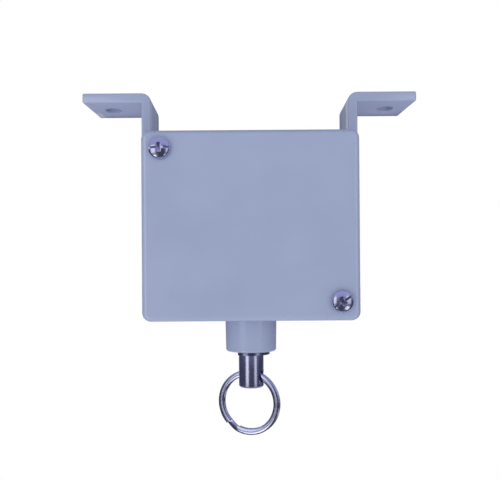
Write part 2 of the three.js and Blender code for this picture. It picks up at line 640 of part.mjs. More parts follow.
// Turned rod with a chamfered end, a ring groove, a cross hole and a thinner threaded neck
function pullRod() {
  const radius = ROD_DIAMETER / 2;
  const neck = ROD_NECK_DIAMETER / 2;
  const groove = radius - CLIP_GROOVE_DEPTH;
  const body = turned([
    [0, rodEnd], [radius - ROD_CHAMFER, rodEnd], [radius, rodEnd + ROD_CHAMFER],
    [radius, clipBottom - PIN_GAP], [groove, clipBottom - PIN_GAP],
    [groove, clipTop + PIN_GAP], [radius, clipTop + PIN_GAP],
    [radius, rodShoulder], [neck, rodShoulder],
    [neck, rodTop - ROD_CHAMFER], [neck - ROD_CHAMFER, rodTop], [0, rodTop],
  ], WIDE_ROUND_SIDES);
  const hole = cylinder(CROSS_HOLE_DIAMETER / 2, -ROD_DIAMETER, ROD_DIAMETER, HEAD_SIDES)
    .rotate([0, 90, 0]).rotate([0, 0, -CROSS_HOLE_TURN]).translate([0, 0, crossHoleZ]);
  return cut(body, hole);
}

// Open clip pushed into the rod's groove from the right: three lands grip it and the mouth faces left
function retainingRing() {
  const seat = ROD_DIAMETER / 2 - CLIP_GROOVE_DEPTH + PIN_GAP;
  const from = clipBottom - OVERCUT;
  const to = clipTop + OVERCUT;
  const reliefs = [-1, 1].map((side) => prism('z', new THREE.Shape([
    ...arc(0, 0, CLIP_RELIEF_DIAMETER / 2, side * CLIP_RELIEF_START, side * CLIP_RELIEF_END, CORNER_STEPS),
    new THREE.Vector2(0, 0),
  ]), from, to));
  const halfMouth = CLIP_MOUTH_WIDTH / 2;
  const mouth = block(-CLIP_DIAMETER, 0, -halfMouth, halfMouth, from, to);
  const blunt = block(-CLIP_DIAMETER, -CLIP_MOUTH_REACH, -CLIP_DIAMETER, CLIP_DIAMETER, from, to);
  const disc = cylinder(CLIP_DIAMETER / 2, clipBottom, clipTop);
  return cut(disc, cylinder(seat, from, to), ...reliefs, mouth, blunt);
}

// Flat strip wound into two close turns; it steps from the front turn to the back one between its ends.
// It hangs on the lower lip of the cross hole, pushed left within the hole's play.
function splitRing() {
  const middle = (RING_OUTER_DIAMETER - RING_BAND_WIDTH) / 2;
  const inner = RING_OUTER_DIAMETER / 2 - RING_BAND_WIDTH;
  const pitch = RING_BAND_THICKNESS + RING_COIL_GAP;
  const halfStack = pitch / 2 + RING_BAND_THICKNESS / 2;
  const holeDepth = Math.sqrt((CROSS_HOLE_DIAMETER / 2) ** 2 - halfStack ** 2);
  const hang = Math.sqrt(inner ** 2 - (ROD_DIAMETER / 2 + RING_SIDE_SHIFT) ** 2);
  const centreZ = crossHoleZ - holeDepth + RING_SEAT_GAP - hang;

  const halfWidth = RING_BAND_WIDTH / 2;
  const halfThickness = RING_BAND_THICKNESS / 2;
  const blunt = RING_EDGE_BREAK;
  const section = [
    [-halfWidth, -halfThickness + blunt], [-halfWidth + blunt, -halfThickness],
    [halfWidth - blunt, -halfThickness], [halfWidth, -halfThickness + blunt],
    [halfWidth, halfThickness - blunt], [halfWidth - blunt, halfThickness],
    [-halfWidth + blunt, halfThickness], [-halfWidth, halfThickness - blunt],
  ];
  const sweep = 720 - RING_JOGGLE;
  return swept(section, RING_STEPS, (t, [radial, axial]) => {
    const turn = sweep * t;
    const step = THREE.MathUtils.clamp((turn - 360 + RING_JOGGLE) / RING_JOGGLE, 0, 1);
    const angle = degrees(RING_START + turn);
    const radius = middle + radial;
    const front = (pitch / 2) * Math.cos(Math.PI * step) + axial;
    return [-radius * Math.sin(angle), -front, -radius * Math.cos(angle)];
  }).translate([-RING_SIDE_SHIFT, 0, 0]).rotate([0, 0, -CROSS_HOLE_TURN]).translate([0, 0, centreZ]);
}

// Compression spring with closed end turns
class SpringPath extends THREE.Curve {
  getPoint(t, target = new THREE.Vector3()) {
    const wire = SPRING_WIRE_DIAMETER;
    const low = bushFlangeTop + wire / 2 + SPRING_END_GAP;
    const high = cupBottom - wire / 2 - SPRING_END_GAP;
    const turn = t * SPRING_TURNS;
    const closed = wire + SPRING_CLOSED_GAP;
    const open = (high - low - 2 * closed) / (SPRING_TURNS - 2);
    const rise = Math.min(turn, 1) * closed + THREE.MathUtils.clamp(turn - 1, 0, SPRING_TURNS - 2) * open
      + Math.max(turn - SPRING_TURNS + 1, 0) * closed;
    const angle = 2 * Math.PI * turn;
    const radius = SPRING_COIL_DIAMETER / 2;
    return target.set(radius * Math.cos(angle), radius * Math.sin(angle), low + rise);
  }
}

function returnSpring() {
  const section = new THREE.Shape(arc(0, 0, SPRING_WIRE_DIAMETER / 2, 0, 315, 7));
  const steps = SPRING_TURNS * SPRING_STEPS_PER_TURN;
  return solidOf(new THREE.ExtrudeGeometry(section, { steps, extrudePath: new SpringPath() }));
}

// Cup over the spring's upper end
function springCup() {
  const bore = ROD_NECK_DIAMETER / 2 + FIT_GAP;
  const rimInside = springRadius + FIT_GAP;
  const rimOutside = rimInside + CUP_RIM_WALL;
  const rimEnd = cupBottom - CUP_RIM_DEPTH;
  return turned([
    [bore, cupBottom], [rimInside, cupBottom], [rimInside, rimEnd], [rimOutside, rimEnd],
    [rimOutside, plateBottom], [bore, plateBottom], [bore, cupBottom],
  ]);
}

// Plate that the rod draws down: an arm over the roller and a forked tail on the guide rib
function actuatorPlate() {
  const hub = cylinder(PLATE_HUB_DIAMETER / 2, plateBottom, plateTop);
  const armEnd = rollerRestX - rollerRadius - PLATE_ARM_PAST_ROLLER;
  const arm = block(armEnd, 0, -PLATE_ARM_WIDTH / 2, PLATE_ARM_WIDTH / 2, plateBottom, plateTop);
  const tail = block(-PLATE_TAIL_WIDTH / 2, PLATE_TAIL_WIDTH / 2,
    0, ribFront + RIB_ENGAGEMENT, plateBottom, plateTop);
  const notch = block(-RIB_WIDTH / 2 - FIT_GAP, RIB_WIDTH / 2 + FIT_GAP, ribFront - FIT_GAP, cavityBack,
    plateBottom - OVERCUT, plateTop + OVERCUT);
  const bore = cylinder(ROD_NECK_DIAMETER / 2 + FIT_GAP, plateBottom - OVERCUT, plateTop + OVERCUT);
  return cut(join(hub, arm, tail), notch, bore);
}

function rodNut() {
  const body = prism('z', hexagon(ROD_NUT_FLATS), rodNutBottom, rodNutBottom + ROD_NUT_HEIGHT);
  const bore = cylinder(ROD_NECK_DIAMETER / 2 + FIT_GAP, rodNutBottom - OVERCUT, rodTop + OVERCUT);
  return cut(body, bore);
}

// Moulded switch case: a deep base and a thin lid, each with one ear for the lever pin
function switchShell(front, back, earFront, earBack) {
  const chamfer = SWITCH_EDGE_CHAMFER;
  const outline = new THREE.Shape([
    [switchLeft + chamfer, switchBottom], [switchRight - chamfer, switchBottom],
    [switchRight, switchBottom + chamfer], [switchRight, switchTop - chamfer],
    [switchRight - chamfer, switchTop], [switchLeft + chamfer, switchTop],
    [switchLeft, switchTop - chamfer], [switchLeft, switchBottom + chamfer],
  ].map(([x, z]) => new THREE.Vector2(-x, z)));
  const shell = prism('y', outline, front, back);
  const earRadius = knuckleRadius + FIT_GAP;
  const ear = join(alongY(cylinder(earRadius, earFront, earBack, TINY_ROUND_SIDES), pivotX, pivotZ),
    block(pivotX - earRadius, pivotX + earRadius, earFront, earBack, switchTop - OVERCUT, pivotZ));
  const holes = switchHoles.map(({ x, z }) => alongY(cylinder(switchBoreRadius,
    front - OVERCUT, back + OVERCUT, TINY_ROUND_SIDES), x, z));
  const pinHole = alongY(cylinder(LEVER_PIN_DIAMETER / 2 + PIN_GAP, earFront - OVERCUT, earBack + OVERCUT,
    TINY_ROUND_SIDES), pivotX, pivotZ);
  return cut(join(shell, ear), pinHole, ...holes);
}

const partLine = switchFront + SWITCH_LID_THICKNESS;

function switchBase() {
  const boreFloor = plungerCentreZ - PLUNGER_LENGTH - plungerTravel - FIT_GAP;
  const plungerBore = cylinder(plungerRadius + FIT_GAP, boreFloor, switchTop + OVERCUT, TINY_ROUND_SIDES)
    .translate([pivotX + PLUNGER_OFFSET, 0, 0]);
  const shell = switchShell(partLine + PART_LINE_GAP, switchBack, switchBack - PIN_EAR_WIDTH, switchBack);
  return cut(shell, plungerBore);
}

const switchLid = () => switchShell(switchFront, partLine, switchFront, switchFront + PIN_EAR_WIDTH);

function switchPlunger() {
  const dome = arc(0, plungerCentreZ, plungerRadius, 0, 90, 4).map(({ x, y }) => [x, y]);
  const foot = plungerCentreZ - PLUNGER_LENGTH;
  return turned([[0, foot], [plungerRadius, foot], ...dome], TINY_ROUND_SIDES)
    .translate([pivotX + PLUNGER_OFFSET, 0, 0]);
}

// Lever, roller and pins are drawn with the lever flat, then tilted up to rest about the pivot
const tiltedToRest = (solid) =>
  solid.rotate([0, -THREE.MathUtils.radToDeg(leverTilt), 0]).translate([pivotX, 0, pivotZ]);

function switchLever() {
  const halfWidth = KNUCKLE_WIDTH / 2;
  const tip = leverReach + FORK_EAR_DIAMETER / 2;
  const blade = block(0, tip, -halfWidth, halfWidth, bladeBottom, bladeTop);
  const knuckle = alongY(cylinder(knuckleRadius, -halfWidth, halfWidth, TINY_ROUND_SIDES), 0, 0);
  const pinHole = alongY(cylinder(LEVER_PIN_DIAMETER / 2 + PIN_GAP, -halfWidth - OVERCUT, halfWidth + OVERCUT,
    TINY_ROUND_SIDES), 0, 0);
  const earRadius = FORK_EAR_DIAMETER / 2;
  const earInside = ROLLER_WIDTH / 2 + FIT_GAP;
  const ears = [-1, 1].map((side) => {
    const [front, back] = [side * earInside, side * halfWidth].sort((a, b) => a - b);
    return join(alongY(cylinder(earRadius, front, back, TINY_ROUND_SIDES), leverReach, rollerRise),
      block(leverReach - earRadius, tip, front, back, bladeBottom, rollerRise));
  });
  const rollerPinHole = alongY(cylinder(ROLLER_PIN_DIAMETER / 2 + PIN_GAP, -halfWidth - OVERCUT,
    halfWidth + OVERCUT, TINY_ROUND_SIDES), leverReach, rollerRise);
  return tiltedToRest(cut(join(knuckle, blade, ...ears), pinHole, rollerPinHole));
}

const leverRoller = () => tiltedToRest(alongY(washer(ROLLER_PIN_DIAMETER / 2 + PIN_GAP, rollerRadius,
  -ROLLER_WIDTH / 2, ROLLER_WIDTH / 2, SMALL_ROUND_SIDES), leverReach, rollerRise));

const rollerPin = () => tiltedToRest(alongY(cylinder(ROLLER_PIN_DIAMETER / 2,
  -KNUCKLE_WIDTH / 2, KNUCKLE_WIDTH / 2, TINY_ROUND_SIDES), leverReach, rollerRise));

const leverPin = () => alongY(
  cylinder(LEVER_PIN_DIAMETER / 2, switchFront, switchBack, TINY_ROUND_SIDES), pivotX, pivotZ);

// Blade terminal hanging from the switch base
function terminal(x) {
  const half = TAB_WIDTH / 2;
  const end = switchBottom - TAB_LENGTH;
  const outline = new THREE.Shape([
    [-half, switchBottom], [-half, end + TAB_TIP_CHAMFER], [-half + TAB_TIP_CHAMFER, end],
    [half - TAB_TIP_CHAMFER, end], [half, end + TAB_TIP_CHAMFER], [half, switchBottom],
  ].map(([across, z]) => new THREE.Vector2(across, z)));
  const tab = prism('y', outline, -TAB_THICKNESS / 2, TAB_THICKNESS / 2).translate([x, 0, 0]);
  const hole = alongY(cylinder(TAB_HOLE_DIAMETER / 2, -OVERCUT, OVERCUT, TINY_ROUND_SIDES), x,
    (switchBottom + end) / 2);
  return cut(tab, hole);
}

const smallSlot = (head, top, floor) => block(-head - OVERCUT, head + OVERCUT,
  -SMALL_SLOT_WIDTH / 2, SMALL_SLOT_WIDTH / 2, top - OVERCUT, floor);

function switchScrew({ x, z }) {
  const shank = SWITCH_SCREW_DIAMETER / 2;
  const head = SWITCH_SCREW_HEAD_DIAMETER / 2;
  const headTop = switchFront - SWITCH_SCREW_HEAD_HEIGHT;
  const body = turned([[0, headTop], [head, headTop], [head, switchFront], [shank, switchFront],
    [shank, insulatorBack + SWITCH_SCREW_BITE], [0, insulatorBack + SWITCH_SCREW_BITE]], TINY_ROUND_SIDES);
  const slot = smallSlot(head, headTop, headTop + SWITCH_SCREW_HEAD_HEIGHT / 2);
  return alongY(cut(body, slot), x, z);
}

function insulatingSheet() {
  const sheet = block(switchLeft - INSULATOR_MARGIN, switchRight + INSULATOR_MARGIN,
    switchBack, insulatorBack, switchBottom - INSULATOR_MARGIN, switchTop + INSULATOR_MARGIN);
  const holes = switchHoles.map(({ x, z }) => alongY(cylinder(switchBoreRadius,
    switchBack - OVERCUT, insulatorBack + OVERCUT, TINY_ROUND_SIDES), x, z));
  return cut(sheet, ...holes);
}

const clampFront = earthFace - EARTH_CLAMP_THICKNESS;

function earthScrew() {
  const shank = EARTH_SCREW_DIAMETER / 2;
  const head = EARTH_HEAD_DIAMETER / 2;
  const headTop = clampFront - EARTH_HEAD_HEIGHT;
  const body = turned([[0, headTop], [head, headTop], [head, clampFront], [shank, clampFront],
    [shank, clampFront + EARTH_SCREW_LENGTH], [0, clampFront + EARTH_SCREW_LENGTH]], TINY_ROUND_SIDES);
  const slot = smallSlot(head, headTop, headTop + EARTH_HEAD_HEIGHT / 2);
  return alongY(cut(body, slot), earthX, earthZ);
}

function earthClamp() {
  const half = EARTH_CLAMP_SIZE / 2;
  const plate = block(earthX - half, earthX + half, clampFront, earthFace, earthZ - half, earthZ + half);
  const hole = alongY(cylinder(EARTH_SCREW_DIAMETER / 2 + PIN_GAP, clampFront - OVERCUT, earthFace + OVERCUT,
    TINY_ROUND_SIDES), earthX, earthZ);
  return cut(plate, hole);
}

// Blind rubber grommet, gripping the back wall between two lips
function cableGrommet() {
  const neck = ENTRY_DIAMETER / 2 - FIT_GAP;
  const lip = ENTRY_DIAMETER / 2 + GROMMET_LIP_WIDTH;
  const inside = neck - GROMMET_WALL;
  const skinBack = cavityBack + GROMMET_SKIN;
  return alongY(turned([
    [0, cavityBack], [inside, cavityBack], [inside, cavityBack - GROMMET_LIP_THICKNESS],
    [lip, cavityBack - GROMMET_LIP_THICKNESS], [lip, cavityBack], [neck, cavityBack],
    [neck, housingBack], [lip, housingBack], [lip - GROMMET_SKIN, housingBack + GROMMET_LIP_THICKNESS],
    [inside, housingBack + GROMMET_LIP_THICKNESS], [inside, skinBack], [0, skinBack],
  ]), entryX, entryZ);
}

const switchMiddle = (switchLeft + switchRight) / 2;
const tabPitch = (switchLength - TAB_WIDTH) / 2 - TAB_END_INSET;
const terminalPlaces = [
  { name: 'terminal_common', x: switchMiddle - tabPitch },
  { name: 'terminal_open', x: switchMiddle },
  { name: 'terminal_closed', x: switchMiddle + tabPitch },
];

const pullSwitch = new THREE.Group();
pullSwitch.add(meshOf('housing_body', housingBody(), paint));
pullSwitch.add(meshOf('front_cover', frontCover(), paint));
pullSwitch.add(meshOf('cover_gasket', coverGasket(), rubber));
for (const place of coverScrewPlaces) {
  pullSwitch.add(meshOf(`cover_screw_${place.name}`, coverScrew(place), nickel));
}
for (const [side, sideName] of [[-1, 'left'], [1, 'right']]) {
  pullSwitch.add(meshOf(`bracket_${sideName}`, bracket(side), paint));
  BRACKET_SCREW_DROPS.forEach((drop, i) => {
    const name = `${sideName}_${['upper', 'lower'][i]}`;
    pullSwitch.add(meshOf(`bracket_screw_${name}`, bracketScrew(side, drop), zinc));
    pullSwitch.add(meshOf(`bracket_nut_${name}`, bracketNut(side, drop), zinc));
  });
}
pullSwitch.add(meshOf('guide_bush', guideBush(), bronze));
pullSwitch.add(meshOf('pull_rod', pullRod(), nickel));
pullSwitch.add(meshOf('retaining_ring', retainingRing(), springSteel));
pullSwitch.add(meshOf('split_ring', splitRing(), nickel));
pullSwitch.add(meshOf('return_spring', returnSpring(), springSteel));
pullSwitch.add(meshOf('spring_cup', springCup(), zinc));
pullSwitch.add(meshOf('actuator_plate', actuatorPlate(), zinc));
pullSwitch.add(meshOf('rod_washer',
  washer(ROD_NECK_DIAMETER / 2 + FIT_GAP, ROD_WASHER_DIAMETER / 2, rodWasherBottom, rodNutBottom), zinc));
pullSwitch.add(meshOf('rod_nut', rodNut(), zinc));
pullSwitch.add(meshOf('switch_base', switchBase(), phenolic));
pullSwitch.add(meshOf('switch_lid', switchLid(), phenolic));
pullSwitch.add(meshOf('switch_plunger', switchPlunger(), nylon));
pullSwitch.add(meshOf('switch_lever', switchLever(), zinc));
pullSwitch.add(meshOf('lever_pin', leverPin(), zinc));
pullSwitch.add(meshOf('lever_roller', leverRoller(), nylon));
pullSwitch.add(meshOf('roller_pin', rollerPin(), zinc));
for (const { name, x } of terminalPlaces) {
  pullSwitch.add(meshOf(name, terminal(x), brass));
}
for (const hole of switchHoles) {
  pullSwitch.add(meshOf(`switch_screw_${hole.name}`, switchScrew(hole), zinc));
}
pullSwitch.add(meshOf('insulating_sheet', insulatingSheet(), fishPaper));
pullSwitch.add(meshOf('earth_screw', earthScrew(), brass));
pullSwitch.add(meshOf('earth_clamp', earthClamp(), brass));
pullSwitch.add(meshOf('cable_grommet', cableGrommet(), rubber));

export default pullSwitch;
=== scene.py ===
import json
import math

import bmesh
import bpy
from mathutils import Matrix, Vector


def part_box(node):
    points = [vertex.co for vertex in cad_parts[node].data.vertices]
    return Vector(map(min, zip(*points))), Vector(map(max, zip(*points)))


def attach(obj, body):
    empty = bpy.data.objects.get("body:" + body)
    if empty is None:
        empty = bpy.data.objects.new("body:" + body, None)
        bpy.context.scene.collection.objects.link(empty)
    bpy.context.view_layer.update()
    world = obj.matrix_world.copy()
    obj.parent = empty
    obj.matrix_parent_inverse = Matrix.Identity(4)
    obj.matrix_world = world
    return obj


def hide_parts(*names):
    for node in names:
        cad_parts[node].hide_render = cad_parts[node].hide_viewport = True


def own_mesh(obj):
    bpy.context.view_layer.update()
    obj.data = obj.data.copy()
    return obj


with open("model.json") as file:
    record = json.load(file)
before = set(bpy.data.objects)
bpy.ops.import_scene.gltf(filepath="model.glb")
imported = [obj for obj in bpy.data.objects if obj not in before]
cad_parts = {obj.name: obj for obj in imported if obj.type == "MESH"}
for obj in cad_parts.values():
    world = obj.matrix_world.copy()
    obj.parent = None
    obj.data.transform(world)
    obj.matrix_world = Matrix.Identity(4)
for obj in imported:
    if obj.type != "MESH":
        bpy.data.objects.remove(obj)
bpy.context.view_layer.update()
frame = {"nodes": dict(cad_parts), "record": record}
scene = bpy.context.scene

# A rope pull switch in metres, +Z up and its front towards -Y. The origin lies on the pull
# rod's axis, in the plane where the flanges meet the ceiling. Angles are in degrees.
MM = 0.001
X_AXIS = Vector((1, 0, 0))
Y_AXIS = Vector((0, 1, 0))
Z_AXIS = Vector((0, 0, 1))
WHITE = (1, 1, 1, 1)

# Picture and camera
PICTURE_WIDTH = 500
PICTURE_HEIGHT = 480
SENSOR_WIDTH = 36
FOCAL_PIXELS = 582
AXIS_PIXEL_X = 246
AXIS_PIXEL_Y = 287
CAMERA_REACH = 211.4 * MM
CAMERA_X = -1.9 * MM
CAMERA_Z = -79.2 * MM
CAMERA_ROLL = 0.41
CAMERA_NEAR = 10 * MM
CAMERA_FAR = 10

# Steps of round shapes, and how near counts as the same
ROUND_STEPS = 72
SMALL_ROUND_STEPS = 40
ARC_STEPS = 6
EDGE_STEPS = 6
CORNER_STEPS = 8
BREAK_STEPS = 2
BREAK_ANGLE = 40
SMOOTH_ANGLE = 32
PARALLEL = 0.99
SAME_LEVEL = 0.001 * MM
SAME_PLACE = 0.01 * MM
MERGE_GAP = 0.0005 * MM

# Housing and cover
WALL = 3 * MM
CORNER_RADIUS = 3.2 * MM
EDGE_RADIUS = 2 * MM
CAVITY_RADIUS = 1.6 * MM
FIT_GAP = 0.3 * MM
OVERCUT = 1 * MM
COVER_LIP_THICKNESS = 1.5 * MM
COVER_LIP_DEPTH = 1.6 * MM
COVER_LIP_INNER_RADIUS = 0.5 * MM
COVER_BORE_RADIUS = 2.3 * MM
COVER_POST_RADIUS = 4.5 * MM
BOSS_TOP_RADIUS = 10.3 * MM
BOSS_END_RADIUS = 10.1 * MM
BOSS_RIM_RADIUS = 1 * MM
BOSS_ROOT_RADIUS = 0.8 * MM
BOSS_BORE_RADIUS = 6.9 * MM
SWITCH_POST_RADIUS = 3.5 * MM
SWITCH_BORE_RADIUS = 1.65 * MM
RIB_WIDTH = 3 * MM
RIB_HEIGHT = 4 * MM
RIB_OVERRUN = 6 * MM
EARTH_POST_RADIUS = 4.5 * MM
EARTH_BORE_RADIUS = 2.15 * MM
EARTH_BORE_DEPTH = 5.1 * MM
ENTRY_RADIUS = 10 * MM

# Cover screws, each with the slope of its slot
COVER_SCREWS = {"cover_screw_upper_left": 2, "cover_screw_lower_right": 33}
SCREW_SHANK_RADIUS = 2 * MM
SCREW_LENGTH = 14 * MM
SCREW_CROWN_RADIUS = 8 * MM
SCREW_CROWN_STEPS = 8
SCREW_SHOULDER_RADIUS = 1.2 * MM
SCREW_SHOULDER_STEPS = 10
SCREW_SLOT_WIDTH = 0.85 * MM
SCREW_SLOT_DEPTH = 1.1 * MM
SCREW_CROSS_WIDTH = 1.8 * MM
SCREW_CROSS_LENGTH = 3.5 * MM
SCREW_CROSS_DEPTH = 1.7 * MM
SCREW_CROSS_RADIUS = 0.45 * MM
SCREW_CROSS_STEPS = 4
SCREW_EDGE_BREAK = 0.12 * MM

# Brackets and their screws
SIDES = (("left", -1), ("right", 1))
BAR_SCREWS = [(f"bracket_screw_{side_name}_{level}", side)
              for side_name, side in SIDES for level in ("upper", "lower")]
BAR_THICKNESS = 4 * MM
BAR_EDGE_RADIUS = 0.7 * MM
BAR_EDGE_STEPS = 3
BAR_EDGE_ANGLE = 50
BAR_END_SKEW = 2 * MM
BEND_STEPS = 12
CEILING_HOLE_RADIUS = 3.3 * MM
CEILING_HOLE_INSET = 10.5 * MM
HOLE_EDGE_BREAK = 0.3 * MM
SINK_RADIUS = 5.1 * MM
SINK_DEPTH = 2.8 * MM
BAR_SCREW_RADIUS = 2.5 * MM
BAR_SCREW_HEAD_DEPTH = 2.5 * MM
BAR_SCREW_CHAMFER = 0.6 * MM
BAR_SLOT_WIDTH = 1.2 * MM
BAR_SLOT_DEPTH = 1.1 * MM

# Pull rod
PULL_STROKE = 6 * MM
ROD_RADIUS = 5 * MM
ROD_NECK_RADIUS = 4 * MM
ROD_SHOULDER_DROP = 3.8 * MM
ROD_CHAMFER = 0.6 * MM
ROD_EDGE_BREAK = 0.15 * MM
ROD_BREAK_STEPS = 3
ROD_BREAK_ANGLE = 45
GROOVE_DEPTH = 0.6 * MM
GROOVE_GAP = 0.15 * MM
CROSS_HOLE_RADIUS = 2.65 * MM
CROSS_HOLE_RISE = 4.5 * MM
CROSS_HOLE_TURN = 21

# Retaining clip
CLIP_RADIUS = 7.5 * MM
CLIP_MOUTH_WIDTH = 8.2 * MM
CLIP_MOUTH_REACH = 5.3 * MM
CLIP_RELIEF_RADIUS = 6 * MM
CLIP_RELIEF_START = 35
CLIP_RELIEF_END = 95
CLIP_RELIEF_STEPS = 12
CLIP_EDGE_BREAK = 0.08 * MM

# Split ring
RING_OUTER_RADIUS = 13.15 * MM
RING_BAND_WIDTH = 2.6 * MM
RING_BAND_THICKNESS = 0.95 * MM
RING_SECTION_STEPS = 20
RING_PITCH = 1.1 * MM
RING_START = 137
RING_TURN_STEPS = 134
RING_JOGGLE = 25
RING_JOGGLE_STEPS = 12

# Return spring
SPRING_RADIUS = 6.3 * MM
WIRE_RADIUS = 0.8 * MM
WIRE_STEPS = 12
SPRING_TURNS = 8
SPRING_CLOSED_PITCH = 1.73 * MM
SPRING_END_GAP = 0.1 * MM
SPRING_TURN_STEPS = 36
CUP_THICKNESS = 1.5 * MM

# Grommet
GROMMET_WALL = 1.8 * MM
GROMMET_SKIN = 1 * MM
GROMMET_LIP_WIDTH = 2.4 * MM
GROMMET_LIP_THICKNESS = 1.6 * MM
GROMMET_LIP_SLOPE = 30
GROMMET_EDGE_RADIUS = 0.5 * MM

# Range of a noise over which a roughness and a tone change
NOISE_LOW = 0.3
NOISE_HIGH = 0.7
TONE_LOW = 0.35
TONE_HIGH = 0.65

# Stoved enamel
PAINT_DEEP = (0.322, 0.376, 0.562)
PAINT_PALE = (0.342, 0.397, 0.590)
PAINT_ROUGHNESS = (0.15, 0.21)
PAINT_SHEEN_GRAIN = 5 * MM
PAINT_CLOUD_GRAIN = 22 * MM
PAINT_SPECK = (0.965, 1.035)
PAINT_SPECK_GRAIN = 0.25 * MM
PAINT_SPECULAR = 1
PEEL_GRAIN = 1.1 * MM
PEEL_DETAIL = 1.5
PEEL_DEPTH = 0.006 * MM
GRIT_GRAIN = 0.2 * MM
GRIT_DEPTH = 0.002 * MM

# Polished nickel
NICKEL_DEEP = (0.60, 0.61, 0.80)
NICKEL_PALE = (0.66, 0.67, 0.86)
NICKEL_ROUGHNESS = (0.17, 0.23)
NICKEL_HAZE_GRAIN = 2.5 * MM
NICKEL_LINE_GRAIN = 1 * MM
NICKEL_LINE_DEPTH = 0.0005 * MM
TURNED_LINES = (0.05, 0.05, 8)
ROLLED_LINES = (1, 8, 1)

# Softboxes: name, azimuth from the view axis with left negative, height, width, length, power
LAMPS = (
    ("left_softbox", -38, 0.015, 0.42, 0.60, 0.75),
    ("right_softbox", 40, 0.015, 0.36, 0.60, 0.46),
    ("low_left_softbox", -38, -0.66, 0.40, 0.40, 0.85),
    ("low_right_softbox", 38, -0.66, 0.36, 0.36, 0.50),
    ("back_left_softbox", -145, 0.20, 0.60, 0.60, 0.8),
    ("back_right_softbox", 140, 0.20, 0.60, 0.60, 0.8),
)
LAMP_REACH = 0.9
LAMP_AIM = Vector((0, 0, -60 * MM))

# Levels of the studio's walls. Matt surfaces see them pale, and brightest one way.
MATT_BRIGHT_WAY = Vector((-0.14, -0.70, -0.70))
MATT_BRIGHT = 1.20
MATT_DARK = 0.28
MATT_DARK_TO = -0.35
# Metal mirrors them dark, with one bright way and a pale ceiling.
MIRROR_BRIGHT_WAY = Vector((0, 0.76, -0.65))
MIRROR_BRIGHT = 0.6
MIRROR_DARK = 0.065
MIRROR_DARK_TO = 0.62
MIRROR_CEILING = 0.4
MIRROR_CEILING_FROM = 0.55
MIRROR_TINT = (0.88, 0.92, 1.4)

FLOOR_SIZE = 0.8
FLOOR_LEVEL = -2
FLOOR_TONE = (0.8, 0.8, 0.82)


# Measures taken from the CAD nodes
def corners(node):
    """The lowest and highest corners of a CAD node as vectors."""
    low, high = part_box(node)
    return Vector(low), Vector(high)


def line_through(node, axis):
    """Where the line along an axis through a CAD node's middle crosses the origin's plane."""
    low, high = corners(node)
    middle = (low + high) / 2
    return middle - axis * middle.dot(axis)


cover_low, cover_high = corners("front_cover")
gasket_low, gasket_high = corners("cover_gasket")
housing_low, housing_high = corners("housing_body")
front, cover_back, rim_front, back = cover_low.y, gasket_low.y, gasket_high.y, housing_high.y
left, right, bottom, top = cover_low.x, cover_high.x, cover_low.z, cover_high.z
middle_z = (bottom + top) / 2
boss_end = housing_low.z
cavity_floor = bottom + WALL
cavity_back = back - WALL
inside_back_wall = back - WALL / 2


def photo_camera():
    """Camera at the photograph's place, with its frame shifted to the photograph's centre."""
    camera = bpy.data.cameras.new("camera")
    camera.sensor_fit = "HORIZONTAL"
    camera.sensor_width = SENSOR_WIDTH
    camera.lens = SENSOR_WIDTH * FOCAL_PIXELS / PICTURE_WIDTH
    camera.shift_x = (PICTURE_WIDTH / 2 - AXIS_PIXEL_X) / PICTURE_WIDTH
    camera.shift_y = (AXIS_PIXEL_Y - PICTURE_HEIGHT / 2) / PICTURE_WIDTH
    camera.clip_start = CAMERA_NEAR
    camera.clip_end = CAMERA_FAR
    holder = bpy.data.objects.new("camera", camera)
    holder.location = (CAMERA_X, front - CAMERA_REACH, CAMERA_Z)
    holder.rotation_euler = (math.pi / 2, math.radians(CAMERA_ROLL), 0)
    scene.collection.objects.link(holder)
    scene.camera = holder


# Mesh helpers
def box_between(first, second):
    """A box between two opposite corners."""
    low, high = Vector(map(min, first, second)), Vector(map(max, first, second))
    bm = bmesh.new()
    bmesh.ops.create_cube(bm, size=1)
    bmesh.ops.scale(bm, vec=high - low, verts=bm.verts)
    bmesh.ops.translate(bm, vec=(high + low) / 2, verts=bm.verts)
    return bm


def round_edges(bm, edges, radius, steps=EDGE_STEPS):
    bmesh.ops.bevel(bm, geom=edges, offset=radius, offset_type="OFFSET", segments=steps,
                    profile=0.5, affect="EDGES", material=-1)


def edges_along(bm, axis):
    """Straight edges that run along one axis."""
    return [edge for edge in bm.edges
            if abs((edge.verts[1].co - edge.verts[0].co).normalized().dot(axis)) > PARALLEL]


def edges_in_plane(bm, axis, level):
    """Edges whose two ends lie at one level along an axis."""
    return [edge for edge in bm.edges
            if all(abs(vert.co.dot(axis) - level) < SAME_LEVEL for vert in edge.verts)]


def rounded_box(low, high, corner_radius):
    """A box with its four edges along Y rounded."""
    bm = box_between(low, high)
    round_edges(bm, edges_along(bm, Y_AXIS), corner_radius, CORNER_STEPS)
    return bm


def arc(across, along, radius, start, end, steps=ARC_STEPS):
    """Profile points of an arc about a centre given by its radius and its height."""
    angles = [math.radians(start + (end - start) * step / steps) for step in range(steps + 1)]
    return [(across + radius * math.cos(angle), along + radius * math.sin(angle))
            for angle in angles]


def clean(bm):
    bmesh.ops.remove_doubles(bm, verts=bm.verts, dist=MERGE_GAP)
    bmesh.ops.recalc_face_normals(bm, faces=bm.faces)
    return bm


